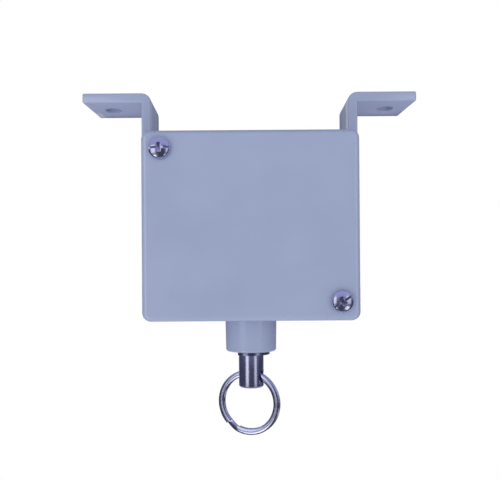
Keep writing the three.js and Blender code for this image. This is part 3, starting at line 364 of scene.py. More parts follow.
def turned(profile, axis=Z_AXIS, centre=(0, 0, 0), steps=ROUND_STEPS):
    """A profile of (radius, height) points spun about an axis through a centre."""
    bm = bmesh.new()
    verts = [bm.verts.new((radius, 0, height)) for radius, height in profile]
    edges = [bm.edges.new(pair) for pair in zip(verts, verts[1:])]
    bmesh.ops.spin(bm, geom=verts + edges, cent=(0, 0, 0), axis=Z_AXIS, angle=math.tau,
                   steps=steps, use_merge=True)
    clean(bm)
    turn = Z_AXIS.rotation_difference(axis).to_matrix().to_4x4()
    bmesh.ops.transform(bm, matrix=Matrix.Translation(centre) @ turn, verts=bm.verts)
    return bm


def bar(radius, start, end, axis, centre, steps=SMALL_ROUND_STEPS):
    """A plain round bar from start to end along an axis."""
    return turned([(0, start), (radius, start), (radius, end), (0, end)], axis, centre, steps)


def verts_of(geom):
    return [item for item in geom if isinstance(item, bmesh.types.BMVert)]


def faces_of(geom):
    return [item for item in geom if isinstance(item, bmesh.types.BMFace)]


def extruded(bm, faces, shift):
    """Extrudes faces by a shift, and gives what grew at their new place."""
    grown = bmesh.ops.extrude_face_region(bm, geom=faces)["geom"]
    bmesh.ops.translate(bm, vec=shift, verts=verts_of(grown))
    return grown


def swept(bm, end, centre, axis, angle, steps, climb=(0, 0, 0)):
    """Carries an end face round an axis, climbing at each step, and gives the new end."""
    result = bmesh.ops.spin(bm, geom=end, cent=centre, axis=axis, angle=angle, steps=steps,
                            dvec=climb, use_duplicate=False, use_merge=False)
    return faces_of(result["geom_last"])


def slab(outline, low, high):
    """An outline of (x, y) points raised from one level to another."""
    bm = bmesh.new()
    face = bm.faces.new([bm.verts.new((x, y, low)) for x, y in outline])
    extruded(bm, [face], (0, 0, high - low))
    return clean(bm)


def solid(name, bm):
    """A bmesh as an object at the origin."""
    mesh = bpy.data.meshes.new(name)
    bm.to_mesh(mesh)
    bm.free()
    thing = bpy.data.objects.new(name, mesh)
    scene.collection.objects.link(thing)
    return thing


def apply_modifiers(thing):
    depsgraph = bpy.context.evaluated_depsgraph_get()
    mesh = bpy.data.meshes.new_from_object(thing.evaluated_get(depsgraph))
    thing.modifiers.clear()
    old = thing.data
    thing.data = mesh
    bpy.data.meshes.remove(old)


def shape(thing, operation, shapes):
    """Joins shapes to a solid, or cuts them out of it."""
    tools = [solid("tool", bm) for bm in shapes]
    for tool in tools:
        modifier = thing.modifiers.new(tool.name, "BOOLEAN")
        modifier.solver = "EXACT"
        modifier.operation = operation
        modifier.object = tool
    apply_modifiers(thing)
    for tool in tools:
        mesh = tool.data
        bpy.data.objects.remove(tool)
        bpy.data.meshes.remove(mesh)


def break_edges(thing, width, steps=BREAK_STEPS, angle=BREAK_ANGLE):
    """A small rounding on every edge sharper than an angle."""
    modifier = thing.modifiers.new("edge_break", "BEVEL")
    modifier.width = width
    modifier.segments = steps
    modifier.limit_method = "ANGLE"
    modifier.angle_limit = math.radians(angle)
    modifier.use_clamp_overlap = True
    apply_modifiers(thing)


def mirror_across(thing):
    """Turns a right-hand piece into the left-hand one."""
    bm = bmesh.new()
    bm.from_mesh(thing.data)
    bmesh.ops.scale(bm, vec=(-1, 1, 1), verts=bm.verts)
    bmesh.ops.recalc_face_normals(bm, faces=bm.faces)
    bm.to_mesh(thing.data)
    bm.free()


# Node helpers
def new_finish(name):
    """A material, its node tree, its shader and the piece's own coordinates."""
    material = bpy.data.materials.new(name)
    material.use_nodes = True
    tree = material.node_tree
    shader = tree.nodes["Principled BSDF"]
    place = tree.nodes.new("ShaderNodeTexCoord").outputs["Object"]
    return material, tree, shader, place


def stretched(tree, place, stretch):
    mapping = tree.nodes.new("ShaderNodeMapping")
    mapping.inputs["Scale"].default_value = stretch
    tree.links.new(place, mapping.inputs["Vector"])
    return mapping.outputs["Vector"]


def cloud(tree, place, grain, detail=3):
    """Noise whose features are about one grain across, in metres."""
    noise = tree.nodes.new("ShaderNodeTexNoise")
    noise.inputs["Scale"].default_value = 1 / grain
    noise.inputs["Detail"].default_value = detail
    tree.links.new(place, noise.inputs["Vector"])
    return noise.outputs["Fac"]


def between(tree, amount, low, high, start=NOISE_LOW, end=NOISE_HIGH):
    """A value from low to high as an amount goes from start to end."""
    scale = tree.nodes.new("ShaderNodeMapRange")
    scale.inputs["From Min"].default_value = start
    scale.inputs["From Max"].default_value = end
    scale.inputs["To Min"].default_value = low
    scale.inputs["To Max"].default_value = high
    tree.links.new(amount, scale.inputs["Value"])
    return scale.outputs["Result"]


def tone_mix(tree, amount, first, second):
    """A tone that passes from the first to the second as an amount grows."""
    ramp = tree.nodes.new("ShaderNodeValToRGB")
    ramp.color_ramp.elements[0].position = TONE_LOW
    ramp.color_ramp.elements[0].color = (*first, 1)
    ramp.color_ramp.elements[1].position = TONE_HIGH
    ramp.color_ramp.elements[1].color = (*second, 1)
    tree.links.new(amount, ramp.inputs["Fac"])
    return ramp.outputs["Color"]


def relief(tree, shader, height, depth, under=None):
    """Small surface relief of a depth in metres, laid over another where one is given."""
    bump = tree.nodes.new("ShaderNodeBump")
    bump.inputs["Distance"].default_value = depth
    tree.links.new(height, bump.inputs["Height"])
    if under:
        tree.links.new(under, bump.inputs["Normal"])
    tree.links.new(bump.outputs["Normal"], shader.inputs["Normal"])
    return bump.outputs["Normal"]


def towards(tree, direction, way):
    """How far a direction points along a way, from -1 to 1."""
    product = tree.nodes.new("ShaderNodeVectorMath")
    product.operation = "DOT_PRODUCT"
    product.inputs[1].default_value = way
    tree.links.new(direction, product.inputs[0])
    return product.outputs["Value"]


def total(tree, first, second):
    add = tree.nodes.new("ShaderNodeMath")
    add.operation = "ADD"
    tree.links.new(first, add.inputs[0])
    tree.links.new(second, add.inputs[1])
    return add.outputs["Value"]


def choose(tree, switch, off, on):
    """The on value where the switch is 1, and the off value where it is 0."""
    mix = tree.nodes.new("ShaderNodeMix")
    mix.data_type = "FLOAT"
    tree.links.new(switch, mix.inputs["Factor"])
    tree.links.new(off, mix.inputs["A"])
    if isinstance(on, (int, float)):
        mix.inputs["B"].default_value = on
    else:
        tree.links.new(on, mix.inputs["B"])
    return mix.outputs["Result"]


# Finishes
def mottled(name, first, second, roughness, metallic=0, tone_grain=6 * MM,
            relief_grain=0.5 * MM, relief_depth=0.004 * MM, stretch=(1, 1, 1)):
    """A finish of two close tones, with its own roughness range and relief."""
    material, tree, shader, place = new_finish(name)
    along = stretched(tree, place, stretch)
    tone = tone_mix(tree, cloud(tree, along, tone_grain), first, second)
    haze = cloud(tree, place, tone_grain / 3)
    tree.links.new(tone, shader.inputs["Base Color"])
    tree.links.new(between(tree, haze, *roughness), shader.inputs["Roughness"])
    relief(tree, shader, cloud(tree, along, relief_grain, 4), relief_depth)
    shader.inputs["Metallic"].default_value = metallic
    return material


def sprayed_paint(name):
    """Stoved enamel: soft clouding, fine orange peel and a faint speck of pigment."""
    material, tree, shader, place = new_finish(name)
    tone = tone_mix(tree, cloud(tree, place, PAINT_CLOUD_GRAIN, 2), PAINT_DEEP, PAINT_PALE)
    speck = between(tree, cloud(tree, place, PAINT_SPECK_GRAIN, 2), *PAINT_SPECK)
    sheen = between(tree, cloud(tree, place, PAINT_SHEEN_GRAIN), *PAINT_ROUGHNESS)
    speckled = tree.nodes.new("ShaderNodeVectorMath")
    speckled.operation = "SCALE"
    tree.links.new(tone, speckled.inputs[0])
    tree.links.new(speck, speckled.inputs["Scale"])
    tree.links.new(speckled.outputs["Vector"], shader.inputs["Base Color"])
    tree.links.new(sheen, shader.inputs["Roughness"])
    peel = relief(tree, shader, cloud(tree, place, PEEL_GRAIN, PEEL_DETAIL), PEEL_DEPTH)
    relief(tree, shader, cloud(tree, place, GRIT_GRAIN, 2), GRIT_DEPTH, peel)
    shader.inputs["Specular IOR Level"].default_value = PAINT_SPECULAR
    return material


def polished_nickel(name, lines):
    """Bright nickel with fine drawn lines along the way it was worked."""
    material, tree, shader, place = new_finish(name)
    drawn = cloud(tree, stretched(tree, place, lines), NICKEL_LINE_GRAIN)
    haze = cloud(tree, place, NICKEL_HAZE_GRAIN)
    tone = tone_mix(tree, haze, NICKEL_DEEP, NICKEL_PALE)
    tree.links.new(tone, shader.inputs["Base Color"])
    tree.links.new(between(tree, haze, *NICKEL_ROUGHNESS), shader.inputs["Roughness"])
    relief(tree, shader, drawn, NICKEL_LINE_DEPTH)
    shader.inputs["Metallic"].default_value = 1
    return material


paint = sprayed_paint("grey_blue_enamel")
turned_nickel = polished_nickel("turned_nickel", TURNED_LINES)
rolled_nickel = polished_nickel("rolled_nickel", ROLLED_LINES)
slot_finishes = {
    "grey_paint": paint,
    "bright_nickel": turned_nickel,
    "zinc_plate": mottled(
        "zinc_plating", (0.50, 0.52, 0.57), (0.62, 0.64, 0.68), (0.24, 0.36), metallic=1),
    "spring_steel": mottled(
        "bright_spring_steel", (0.38, 0.39, 0.50), (0.46, 0.47, 0.58), (0.2, 0.28), metallic=1),
    "bronze": mottled(
        "sintered_bronze", (0.42, 0.24, 0.09), (0.52, 0.33, 0.14), (0.3, 0.45), metallic=1,
        relief_grain=0.3 * MM, relief_depth=0.01 * MM),
    "brass": mottled(
        "rolled_brass", (0.60, 0.42, 0.13), (0.70, 0.52, 0.20), (0.22, 0.36), metallic=1,
        stretch=(1, 1, 0.1)),
    "black_rubber": mottled(
        "moulded_rubber", (0.012, 0.012, 0.014), (0.022, 0.022, 0.025), (0.6, 0.8),
        relief_depth=0.02 * MM),
    "brown_phenolic": mottled(
        "moulded_phenolic", (0.022, 0.016, 0.013), (0.045, 0.032, 0.025), (0.4, 0.55),
        tone_grain=0.8 * MM, relief_depth=0.008 * MM),
    "white_nylon": mottled(
        "turned_nylon", (0.68, 0.65, 0.58), (0.74, 0.71, 0.64), (0.4, 0.5),
        relief_depth=0.003 * MM),
    "fish_paper": mottled(
        "pressed_fibre_board", (0.24, 0.21, 0.12), (0.34, 0.30, 0.19), (0.75, 0.9),
        tone_grain=0.9 * MM, relief_depth=0.02 * MM, stretch=(1, 1, 0.3)),
}


def hand_over(thing, body, slot, node, material=None):
    """A finished piece gets its finish and its body, and the CAD node that it stands for is
    hidden.
    """
    thing.data.shade_smooth()
    thing.data.set_sharp_from_angle(angle=math.radians(SMOOTH_ANGLE))
    thing.data.materials.clear()
    thing.data.materials.append(material or slot_finishes[slot])
    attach(thing, body)
    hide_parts(node)


# Pieces
def sides_of(x, z):
    """Which way the nearest corner of the housing lies, as signs along X and Z."""
    return math.copysign(1, x), math.copysign(1, z - middle_z)


def front_cover():
    """Plate with rounded front edges, and a lip that enters the housing's rim."""
    bm = rounded_box((left, front, bottom), (right, cover_back, top), CORNER_RADIUS)
    round_edges(bm, edges_in_plane(bm, Y_AXIS, front), EDGE_RADIUS)
    cover = solid("cover_plate", clean(bm))
    lip_back = rim_front + COVER_LIP_DEPTH
    inset = WALL + FIT_GAP
    lip = rounded_box((left + inset, cover_back - OVERCUT, bottom + inset),
                      (right - inset, lip_back, top - inset), CAVITY_RADIUS - FIT_GAP)
    shape(cover, "UNION", [lip])
    inset += COVER_LIP_THICKNESS
    cuts = [rounded_box((left + inset, cover_back, bottom + inset),
                        (right - inset, lip_back + OVERCUT, top - inset),
                        COVER_LIP_INNER_RADIUS)]
    room = COVER_POST_RADIUS + FIT_GAP
    for node in COVER_SCREWS:
        place = line_through(node, Y_AXIS)
        side_x, side_z = sides_of(place.x, place.z)
        near = (place.x - side_x * room, cover_back, place.z - side_z * room)
        far = (side_x * right, back, middle_z + side_z * (top - middle_z))
        cuts.append(box_between(near, far))
        cuts.append(bar(COVER_BORE_RADIUS, front - OVERCUT, cover_back + OVERCUT, Y_AXIS, place))
    shape(cover, "DIFFERENCE", cuts)
    hand_over(cover, "housing", "grey_paint", "front_cover")


def cover_post(place):
    """A screw post that runs into its corner of the walls."""
    side_x, side_z = sides_of(place.x, place.z)
    near = Vector((place.x - side_x * COVER_POST_RADIUS, rim_front,
                   place.z - side_z * COVER_POST_RADIUS))
    far = (side_x * (right - WALL / 2), inside_back_wall,
           middle_z + side_z * (top - middle_z - WALL / 2))
    bm = box_between(near, far)
    inner = [edge for edge in edges_along(bm, Y_AXIS)
             if (edge.verts[0].co.xz - near.xz).length < SAME_PLACE]
    round_edges(bm, inner, COVER_POST_RADIUS, CORNER_STEPS)
    return clean(bm)


def cast_housing():
    """Box with the boss below it, screw posts and a guide rib inside, and its bores."""
    bm = rounded_box((left, rim_front, bottom), (right, back, top), CORNER_RADIUS)
    round_edges(bm, edges_in_plane(bm, Y_AXIS, back), EDGE_RADIUS)
    housing = solid("cast_housing", clean(bm))
    root_radius = BOSS_TOP_RADIUS + BOSS_ROOT_RADIUS
    inside_floor = bottom + WALL / 2
    boss = turned([(0, boss_end)]
                  + arc(BOSS_END_RADIUS - BOSS_RIM_RADIUS, boss_end + BOSS_RIM_RADIUS,
                        BOSS_RIM_RADIUS, -90, 0)
                  + arc(root_radius, bottom - BOSS_ROOT_RADIUS, BOSS_ROOT_RADIUS, 180, 90)
                  + [(root_radius, inside_floor), (0, inside_floor)])
    shape(housing, "UNION", [boss])
    cavity = rounded_box((left + WALL, rim_front - OVERCUT, cavity_floor),
                         (right - WALL, cavity_back, top - WALL), CAVITY_RADIUS)
    shape(housing, "DIFFERENCE", [cavity])

    plate_low, plate_high = corners("actuator_plate")
    earth = line_through("earth_clamp", Y_AXIS)
    earth_front = corners("earth_clamp")[1].y
    switch_front = corners("insulating_sheet")[1].y
    rib_low = (-RIB_WIDTH / 2, cavity_back - RIB_HEIGHT, plate_low.z - PULL_STROKE - RIB_OVERRUN)
    rib_high = (RIB_WIDTH / 2, inside_back_wall, plate_high.z + RIB_OVERRUN)
    posts = [bar(EARTH_POST_RADIUS, earth_front, inside_back_wall, Y_AXIS, earth),
             box_between(rib_low, rib_high)]
    bores = []
    for node in ("switch_screw_lower", "switch_screw_upper"):
        place = line_through(node, Y_AXIS)
        tip = corners(node)[1].y
        posts.append(bar(SWITCH_POST_RADIUS, switch_front, inside_back_wall, Y_AXIS, place))
        bores.append(bar(SWITCH_BORE_RADIUS, switch_front - OVERCUT, tip + OVERCUT,
                         Y_AXIS, place))
    for node in COVER_SCREWS:
        place = line_through(node, Y_AXIS)
        tip = corners(node)[1].y
        posts.append(cover_post(place))
        bores.append(bar(COVER_BORE_RADIUS, rim_front - OVERCUT, tip + OVERCUT, Y_AXIS, place))
    shape(housing, "UNION", posts)

    bores.append(bar(EARTH_BORE_RADIUS, earth_front - OVERCUT, earth_front + EARTH_BORE_DEPTH,
                     Y_AXIS, earth))
    bores.append(bar(ENTRY_RADIUS, cavity_back - OVERCUT, back + OVERCUT,
                     Y_AXIS, line_through("cable_grommet", Y_AXIS), ROUND_STEPS))
    bores.append(bar(BOSS_BORE_RADIUS, boss_end - OVERCUT, cavity_floor + OVERCUT,
                     Z_AXIS, (0, 0, 0), ROUND_STEPS))
    for node, side in BAR_SCREWS:
        start, end = sorted((side * (right - WALL - OVERCUT), side * (right + OVERCUT)))
        bores.append(bar(BAR_SCREW_RADIUS + FIT_GAP, start, end,
                         X_AXIS, line_through(node, X_AXIS)))
    shape(housing, "DIFFERENCE", bores)
    hand_over(housing, "housing", "grey_paint", "housing_body")


def cover_screw(node, slope):
    """Pan head with a slot and a short cross recess, its shank in the post."""
    low, high = corners(node)
    place = line_through(node, Y_AXIS)
    head = (high.x - low.x) / 2
    height = front - low.y
    middle = head - SCREW_SHOULDER_RADIUS
    between_centres = SCREW_CROWN_RADIUS - SCREW_SHOULDER_RADIUS
    shoulder = SCREW_CROWN_RADIUS - height - math.sqrt(between_centres ** 2 - middle ** 2)
    reach = math.degrees(math.asin(middle / between_centres))
    crown = arc(0, SCREW_CROWN_RADIUS - height, SCREW_CROWN_RADIUS, -90, reach - 90,
                SCREW_CROWN_STEPS)
    side = arc(middle, shoulder, SCREW_SHOULDER_RADIUS, reach - 90, 0, SCREW_SHOULDER_STEPS)
    taper = SCREW_SHANK_RADIUS / 2
    shank = [(head, 0), (SCREW_SHANK_RADIUS, 0), (SCREW_SHANK_RADIUS, SCREW_LENGTH - taper),
             (SCREW_SHANK_RADIUS - taper, SCREW_LENGTH), (0, SCREW_LENGTH)]
    screw = solid(f"{node}_bright", turned(crown + side[1:] + shank))
    above = -height - OVERCUT
    slot = box_between((-head - OVERCUT, -SCREW_SLOT_WIDTH / 2, above),
                       (head + OVERCUT, SCREW_SLOT_WIDTH / 2, SCREW_SLOT_DEPTH - height))
    cross = box_between((-SCREW_CROSS_WIDTH / 2, -SCREW_CROSS_LENGTH / 2, above),
                        (SCREW_CROSS_WIDTH / 2, SCREW_CROSS_LENGTH / 2,
                         SCREW_CROSS_DEPTH - height))
    round_edges(cross, edges_along(cross, Z_AXIS), SCREW_CROSS_RADIUS, SCREW_CROSS_STEPS)
    shape(screw, "DIFFERENCE", [slot, cross])
    break_edges(screw, SCREW_EDGE_BREAK)
    screw.data.transform(Matrix.Translation((place.x, front, place.z))
                         @ Matrix.Rotation(-math.radians(slope), 4, Y_AXIS)
                         @ Matrix.Rotation(-math.pi / 2, 4, X_AXIS))
    hand_over(screw, "housing", "bright_nickel", node)


def bent_bracket(side_name, side):
    """Flat bar whose end is bent outwards over a former into the ceiling flange."""
    node = f"bracket_{side_name}"
    low, high = corners(node)
    middle_y = (low.y + high.y) / 2
    inside = right
    outside = right + BAR_THICKNESS
    tip = max(abs(low.x), abs(high.x))
    under = -BAR_THICKNESS
    bm = bmesh.new()
    section = [bm.verts.new(co) for co in ((inside, low.y, low.z), (outside, low.y, low.z),
                                           (outside, high.y, low.z), (inside, high.y, low.z))]
    grown = extruded(bm, [bm.faces.new(section)], (0, 0, under - low.z))
    end = swept(bm, faces_of(grown), (outside, 0, under), Y_AXIS, math.pi / 2, BEND_STEPS)
    grown = extruded(bm, end, (tip - outside, 0, 0))
    for vert in verts_of(grown):
        if vert.co.y > middle_y:
            vert.co.x -= BAR_END_SKEW
    loose = [face for face in bm.faces if not any(edge.is_manifold for edge in face.edges)]
    bmesh.ops.delete(bm, geom=loose, context="FACES")
    clean(bm)

    def in_the_bend(vert):
        return abs(vert.co.x - outside) < SAME_PLACE and abs(vert.co.z - under) < SAME_PLACE

    sharp = [edge for edge in bm.edges if len(edge.link_faces) == 2
             and edge.calc_face_angle(0) > math.radians(BAR_EDGE_ANGLE)
             and not all(map(in_the_bend, edge.verts))]
    round_edges(bm, sharp, BAR_EDGE_RADIUS, BAR_EDGE_STEPS)
    bracket = solid(f"{side_name}_bracket", clean(bm))
    broken = CEILING_HOLE_RADIUS + HOLE_EDGE_BREAK + OVERCUT
    holes = [turned([(0, under - OVERCUT), (broken, under - OVERCUT),
                     (CEILING_HOLE_RADIUS, under + HOLE_EDGE_BREAK),
                     (CEILING_HOLE_RADIUS, -HOLE_EDGE_BREAK), (broken, OVERCUT), (0, OVERCUT)],
                    Z_AXIS, (tip - CEILING_HOLE_INSET, middle_y, 0))]
    bore = BAR_SCREW_RADIUS + FIT_GAP
    sunk_bore = [(0, inside - OVERCUT), (bore, inside - OVERCUT), (bore, outside - SINK_DEPTH),
                 (SINK_RADIUS, outside - FIT_GAP), (SINK_RADIUS, outside + OVERCUT),
                 (0, outside + OVERCUT)]
    for screw, screw_side in BAR_SCREWS:
        if screw_side == side:
            holes.append(turned(sunk_bore, X_AXIS, line_through(screw, X_AXIS)))
    shape(bracket, "DIFFERENCE", holes)
    if side < 0:
        mirror_across(bracket)
    hand_over(bracket, "housing", "grey_paint", node)


def bracket_screw(node, side):
    """Countersunk slotted screw, flush with the bracket."""
    low, high = corners(node)
    place = line_through(node, X_AXIS)
    head = (high.y - low.y) / 2
    inner, face = sorted((abs(low.x), abs(high.x)))
    screw = solid(f"{node}_plated", turned([
        (0, inner), (BAR_SCREW_RADIUS - BAR_SCREW_CHAMFER, inner),
        (BAR_SCREW_RADIUS, inner + BAR_SCREW_CHAMFER),
        (BAR_SCREW_RADIUS, face - BAR_SCREW_HEAD_DEPTH),
        (head, face - FIT_GAP), (head, face), (0, face)], X_AXIS, place))
    half_slot = Vector((0, head + OVERCUT, BAR_SLOT_WIDTH / 2))
    slot = box_between(place - half_slot + X_AXIS * (face - BAR_SLOT_DEPTH),
                       place + half_slot + X_AXIS * (face + OVERCUT))
    shape(screw, "DIFFERENCE", [slot])
    break_edges(screw, SCREW_EDGE_BREAK)
    if side < 0:
        mirror_across(screw)
    hand_over(screw, "housing", "zinc_plate", node)


def pull_rod():
    """Polished rod with a groove for the clip, a neck inside and a cross hole near its end."""
    low, high = corners("pull_rod")
    clip_low, clip_high = corners("retaining_ring")
    shoulder = corners("spring_cup")[1].z - ROD_SHOULDER_DROP
    groove = ROD_RADIUS - GROOVE_DEPTH
    rod = solid("polished_rod", turned([
        (0, low.z), (ROD_RADIUS - ROD_CHAMFER, low.z), (ROD_RADIUS, low.z + ROD_CHAMFER),
        (ROD_RADIUS, clip_low.z - GROOVE_GAP), (groove, clip_low.z - GROOVE_GAP),
        (groove, clip_high.z + GROOVE_GAP), (ROD_RADIUS, clip_high.z + GROOVE_GAP),
        (ROD_RADIUS, shoulder), (ROD_NECK_RADIUS, shoulder),
        (ROD_NECK_RADIUS, high.z - ROD_CHAMFER), (ROD_NECK_RADIUS - ROD_CHAMFER, high.z),
        (0, high.z)]))
    turn = math.radians(CROSS_HOLE_TURN)
    hole = bar(CROSS_HOLE_RADIUS, -2 * ROD_RADIUS, 2 * ROD_RADIUS,
               Vector((math.cos(turn), -math.sin(turn), 0)),
               (0, 0, low.z + CROSS_HOLE_RISE), ROUND_STEPS)
    shape(rod, "DIFFERENCE", [hole])
    break_edges(rod, ROD_EDGE_BREAK, ROD_BREAK_STEPS, ROD_BREAK_ANGLE)
    hand_over(rod, "rod", "bright_nickel", "pull_rod")


def retaining_clip():
    """Open clip in the rod's groove: three lands grip it and the mouth faces left."""
    low, high = corners("retaining_ring")
    under, over = low.z - OVERCUT, high.z + OVERCUT
    clip = solid("bright_retaining_clip",
                 bar(CLIP_RADIUS, low.z, high.z, Z_AXIS, (0, 0, 0), ROUND_STEPS))
    cuts = [bar(ROD_RADIUS - GROOVE_DEPTH + GROOVE_GAP, under, over, Z_AXIS, (0, 0, 0),
                ROUND_STEPS)]
    for side in (-1, 1):
        rim = arc(0, 0, CLIP_RELIEF_RADIUS, side * CLIP_RELIEF_START, side * CLIP_RELIEF_END,
                  CLIP_RELIEF_STEPS)
        cuts.append(slab(rim + [(0, 0)], under, over))
    cuts.append(box_between((-2 * CLIP_RADIUS, -CLIP_MOUTH_WIDTH / 2, under),
                            (0, CLIP_MOUTH_WIDTH / 2, over)))
    cuts.append(box_between((-2 * CLIP_RADIUS, -CLIP_RADIUS - OVERCUT, under),
                            (-CLIP_MOUTH_REACH, CLIP_RADIUS + OVERCUT, over)))
    shape(clip, "DIFFERENCE", cuts)
    break_edges(clip, CLIP_EDGE_BREAK)
    hand_over(clip, "rod", "spring_steel", "retaining_ring")


def split_ring():
    """Flat strip wound into two close turns, stepping from the front turn to the back one."""
    low, high = corners("split_ring")
    middle = RING_OUTER_RADIUS - RING_BAND_WIDTH / 2
    oval = Matrix.Diagonal((RING_BAND_WIDTH / 2, RING_BAND_THICKNESS / 2, 1, 1))
    bm = bmesh.new()
    bmesh.ops.create_circle(bm, cap_ends=True, segments=RING_SECTION_STEPS, radius=1,
                            matrix=Matrix.Translation((middle, -RING_PITCH / 2, 0)) @ oval)
    bmesh.ops.rotate(bm, verts=bm.verts, cent=(0, 0, 0),
                     matrix=Matrix.Rotation(math.radians(RING_START), 3, Y_AXIS))
    flat_turn = math.radians(360 - RING_JOGGLE)
    small_turn = math.radians(RING_JOGGLE) / RING_JOGGLE_STEPS
    end = swept(bm, list(bm.faces), (0, 0, 0), Y_AXIS, flat_turn, RING_TURN_STEPS)
    for step in range(RING_JOGGLE_STEPS):
        before = math.cos(math.pi * step / RING_JOGGLE_STEPS)
        after = math.cos(math.pi * (step + 1) / RING_JOGGLE_STEPS)
        climb = (0, RING_PITCH * (before - after) / 2, 0)
        end = swept(bm, end, (0, 0, 0), Y_AXIS, small_turn, 1, climb)
    swept(bm, end, (0, 0, 0), Y_AXIS, flat_turn, RING_TURN_STEPS)
    clean(bm)
    hung = (Matrix.Translation((low + high) / 2)
            @ Matrix.Rotation(-math.radians(CROSS_HOLE_TURN), 4, Z_AXIS))
    bmesh.ops.transform(bm, matrix=hung, verts=bm.verts)
    ring = solid("rope_split_ring", bm)
    hand_over(ring, "ring", "bright_nickel", "split_ring", rolled_nickel)


def return_spring():
    """Compression spring with closed end turns, from the bush up to the spring cup."""
    seat = corners("guide_bush")[1].z
    cup = corners("actuator_plate")[0].z - CUP_THICKNESS
    low = seat + WIRE_RADIUS + SPRING_END_GAP
    high = cup - WIRE_RADIUS - SPRING_END_GAP
    closed = (0, SPRING_TURNS - 1)
    open_pitch = ((high - low - len(closed) * SPRING_CLOSED_PITCH)
                  / (SPRING_TURNS - len(closed)))
    bm = bmesh.new()
    bmesh.ops.create_circle(bm, cap_ends=True, segments=WIRE_STEPS, radius=WIRE_RADIUS,
                            matrix=Matrix.Translation((SPRING_RADIUS, 0, low))
                            @ Matrix.Rotation(math.pi / 2, 4, X_AXIS))
    end = list(bm.faces)
    for turn in range(SPRING_TURNS):
        pitch = SPRING_CLOSED_PITCH if turn in closed else open_pitch
        end = swept(bm, end, (0, 0, 0), Z_AXIS, math.tau, SPRING_TURN_STEPS,
                    (0, 0, pitch / SPRING_TURN_STEPS))
    spring = solid("coiled_return_spring", clean(bm))
    hand_over(spring, "housing", "spring_steel", "return_spring")
    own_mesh(spring)


def cable_grommet():
    """Blind rubber grommet, gripping the back wall between two lips."""
    neck = ENTRY_RADIUS - FIT_GAP
    lip = ENTRY_RADIUS + GROMMET_LIP_WIDTH
    inner = neck - GROMMET_WALL
    edge = GROMMET_EDGE_RADIUS
    outer_face = back + GROMMET_LIP_THICKNESS
    inner_face = cavity_back - GROMMET_LIP_THICKNESS
    skin = cavity_back + GROMMET_SKIN
    profile = [(0, cavity_back), (inner, cavity_back), (inner, inner_face)]
    profile += arc(lip - edge, inner_face + edge, edge, -90, 0)
    profile += [(lip, cavity_back), (neck, cavity_back), (neck, back), (lip, back)]
    profile += arc(lip - GROMMET_SKIN - edge, outer_face - edge, edge, GROMMET_LIP_SLOPE, 90)
    profile += arc(inner + edge, outer_face - edge, edge, 90, 180)
    profile += [(inner, skin), (0, skin)]
    grommet = solid("blind_rubber_grommet",
                    turned(profile, Y_AXIS, line_through("cable_grommet", Y_AXIS)))
    hand_over(grommet, "housing", "black_rubber", "cable_grommet")


# Studio
def softbox(name, azimuth, height, width, length, power):
    lamp = bpy.data.lights.new(name, "AREA")
    lamp.shape = "RECTANGLE"
    lamp.size = width
    lamp.size_y = length
    lamp.energy = power
    holder = bpy.data.objects.new(name, lamp)
    turn = math.radians(azimuth)
    holder.location = (LAMP_REACH * math.sin(turn), -LAMP_REACH * math.cos(turn), height)
    holder.rotation_euler = (LAMP_AIM - holder.location).to_track_quat("-Z", "Y").to_euler()
    scene.collection.objects.link(holder)


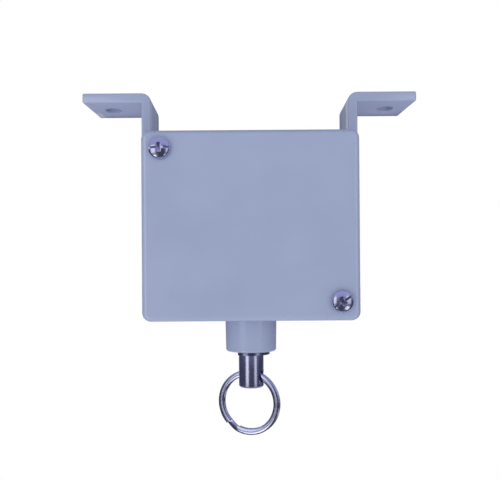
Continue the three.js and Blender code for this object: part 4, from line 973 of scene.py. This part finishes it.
def studio_world():
    """White to the camera, evenly pale to matt surfaces, and darker where metal mirrors it."""
    world = bpy.data.worlds.new("studio")
    scene.world = world
    world.use_nodes = True
    world.cycles.sampling_method = "NONE"
    tree = world.node_tree
    background = tree.nodes["Background"]
    direction = tree.nodes.new("ShaderNodeTexCoord").outputs["Generated"]
    matt = between(tree, towards(tree, direction, MATT_BRIGHT_WAY),
                   MATT_DARK, MATT_BRIGHT, MATT_DARK_TO, 1)
    wall = between(tree, towards(tree, direction, MIRROR_BRIGHT_WAY),
                   MIRROR_DARK, MIRROR_BRIGHT, MIRROR_DARK_TO, 1)
    ceiling = between(tree, towards(tree, direction, Z_AXIS),
                      0, MIRROR_CEILING, 0, MIRROR_CEILING_FROM)
    path = tree.nodes.new("ShaderNodeLightPath")
    level = choose(tree, path.outputs["Is Glossy Ray"], matt, total(tree, wall, ceiling))
    level = choose(tree, path.outputs["Is Camera Ray"], level, 1)
    tree.links.new(level, background.inputs["Strength"])
    tint = tree.nodes.new("ShaderNodeMix")
    tint.data_type = "RGBA"
    tint.inputs["A"].default_value = WHITE
    tint.inputs["B"].default_value = (*MIRROR_TINT, 1)
    tree.links.new(path.outputs["Is Glossy Ray"], tint.inputs["Factor"])
    tree.links.new(tint.outputs["Result"], background.inputs["Color"])


def studio_floor():
    """Pale floor well below the hanging switch, white to the camera."""
    bm = bmesh.new()
    bmesh.ops.create_grid(bm, x_segments=1, y_segments=1, size=FLOOR_SIZE)
    bmesh.ops.translate(bm, vec=(0, 0, FLOOR_LEVEL), verts=bm.verts)
    floor = solid("studio_floor", bm)
    material = bpy.data.materials.new("pale_floor")
    material.use_nodes = True
    tree = material.node_tree
    tree.nodes.clear()
    pale = tree.nodes.new("ShaderNodeBsdfDiffuse")
    pale.inputs["Color"].default_value = (*FLOOR_TONE, 1)
    white = tree.nodes.new("ShaderNodeEmission")
    white.inputs["Color"].default_value = WHITE
    path = tree.nodes.new("ShaderNodeLightPath")
    mix = tree.nodes.new("ShaderNodeMixShader")
    output = tree.nodes.new("ShaderNodeOutputMaterial")
    tree.links.new(path.outputs["Is Camera Ray"], mix.inputs["Fac"])
    tree.links.new(pale.outputs["BSDF"], mix.inputs[1])
    tree.links.new(white.outputs["Emission"], mix.inputs[2])
    tree.links.new(mix.outputs["Shader"], output.inputs["Surface"])
    floor.data.materials.append(material)


photo_camera()
front_cover()
cast_housing()
for node, slope in COVER_SCREWS.items():
    cover_screw(node, slope)
for side_name, side in SIDES:
    bent_bracket(side_name, side)
for node, side in BAR_SCREWS:
    bracket_screw(node, side)
pull_rod()
retaining_clip()
split_ring()
return_spring()
cable_grommet()

# The CAD nodes that stay as they are get the finishes of their slots.
node_slots = {part["node"]: part["material_slot"] for part in frame["record"]["subparts"]}
for node, thing in frame["nodes"].items():
    for material_slot in thing.material_slots:
        material_slot.material = slot_finishes[node_slots[node]]

for lamp in LAMPS:
    softbox(*lamp)
studio_world()
studio_floor()

scene.view_settings.view_transform = "Standard"
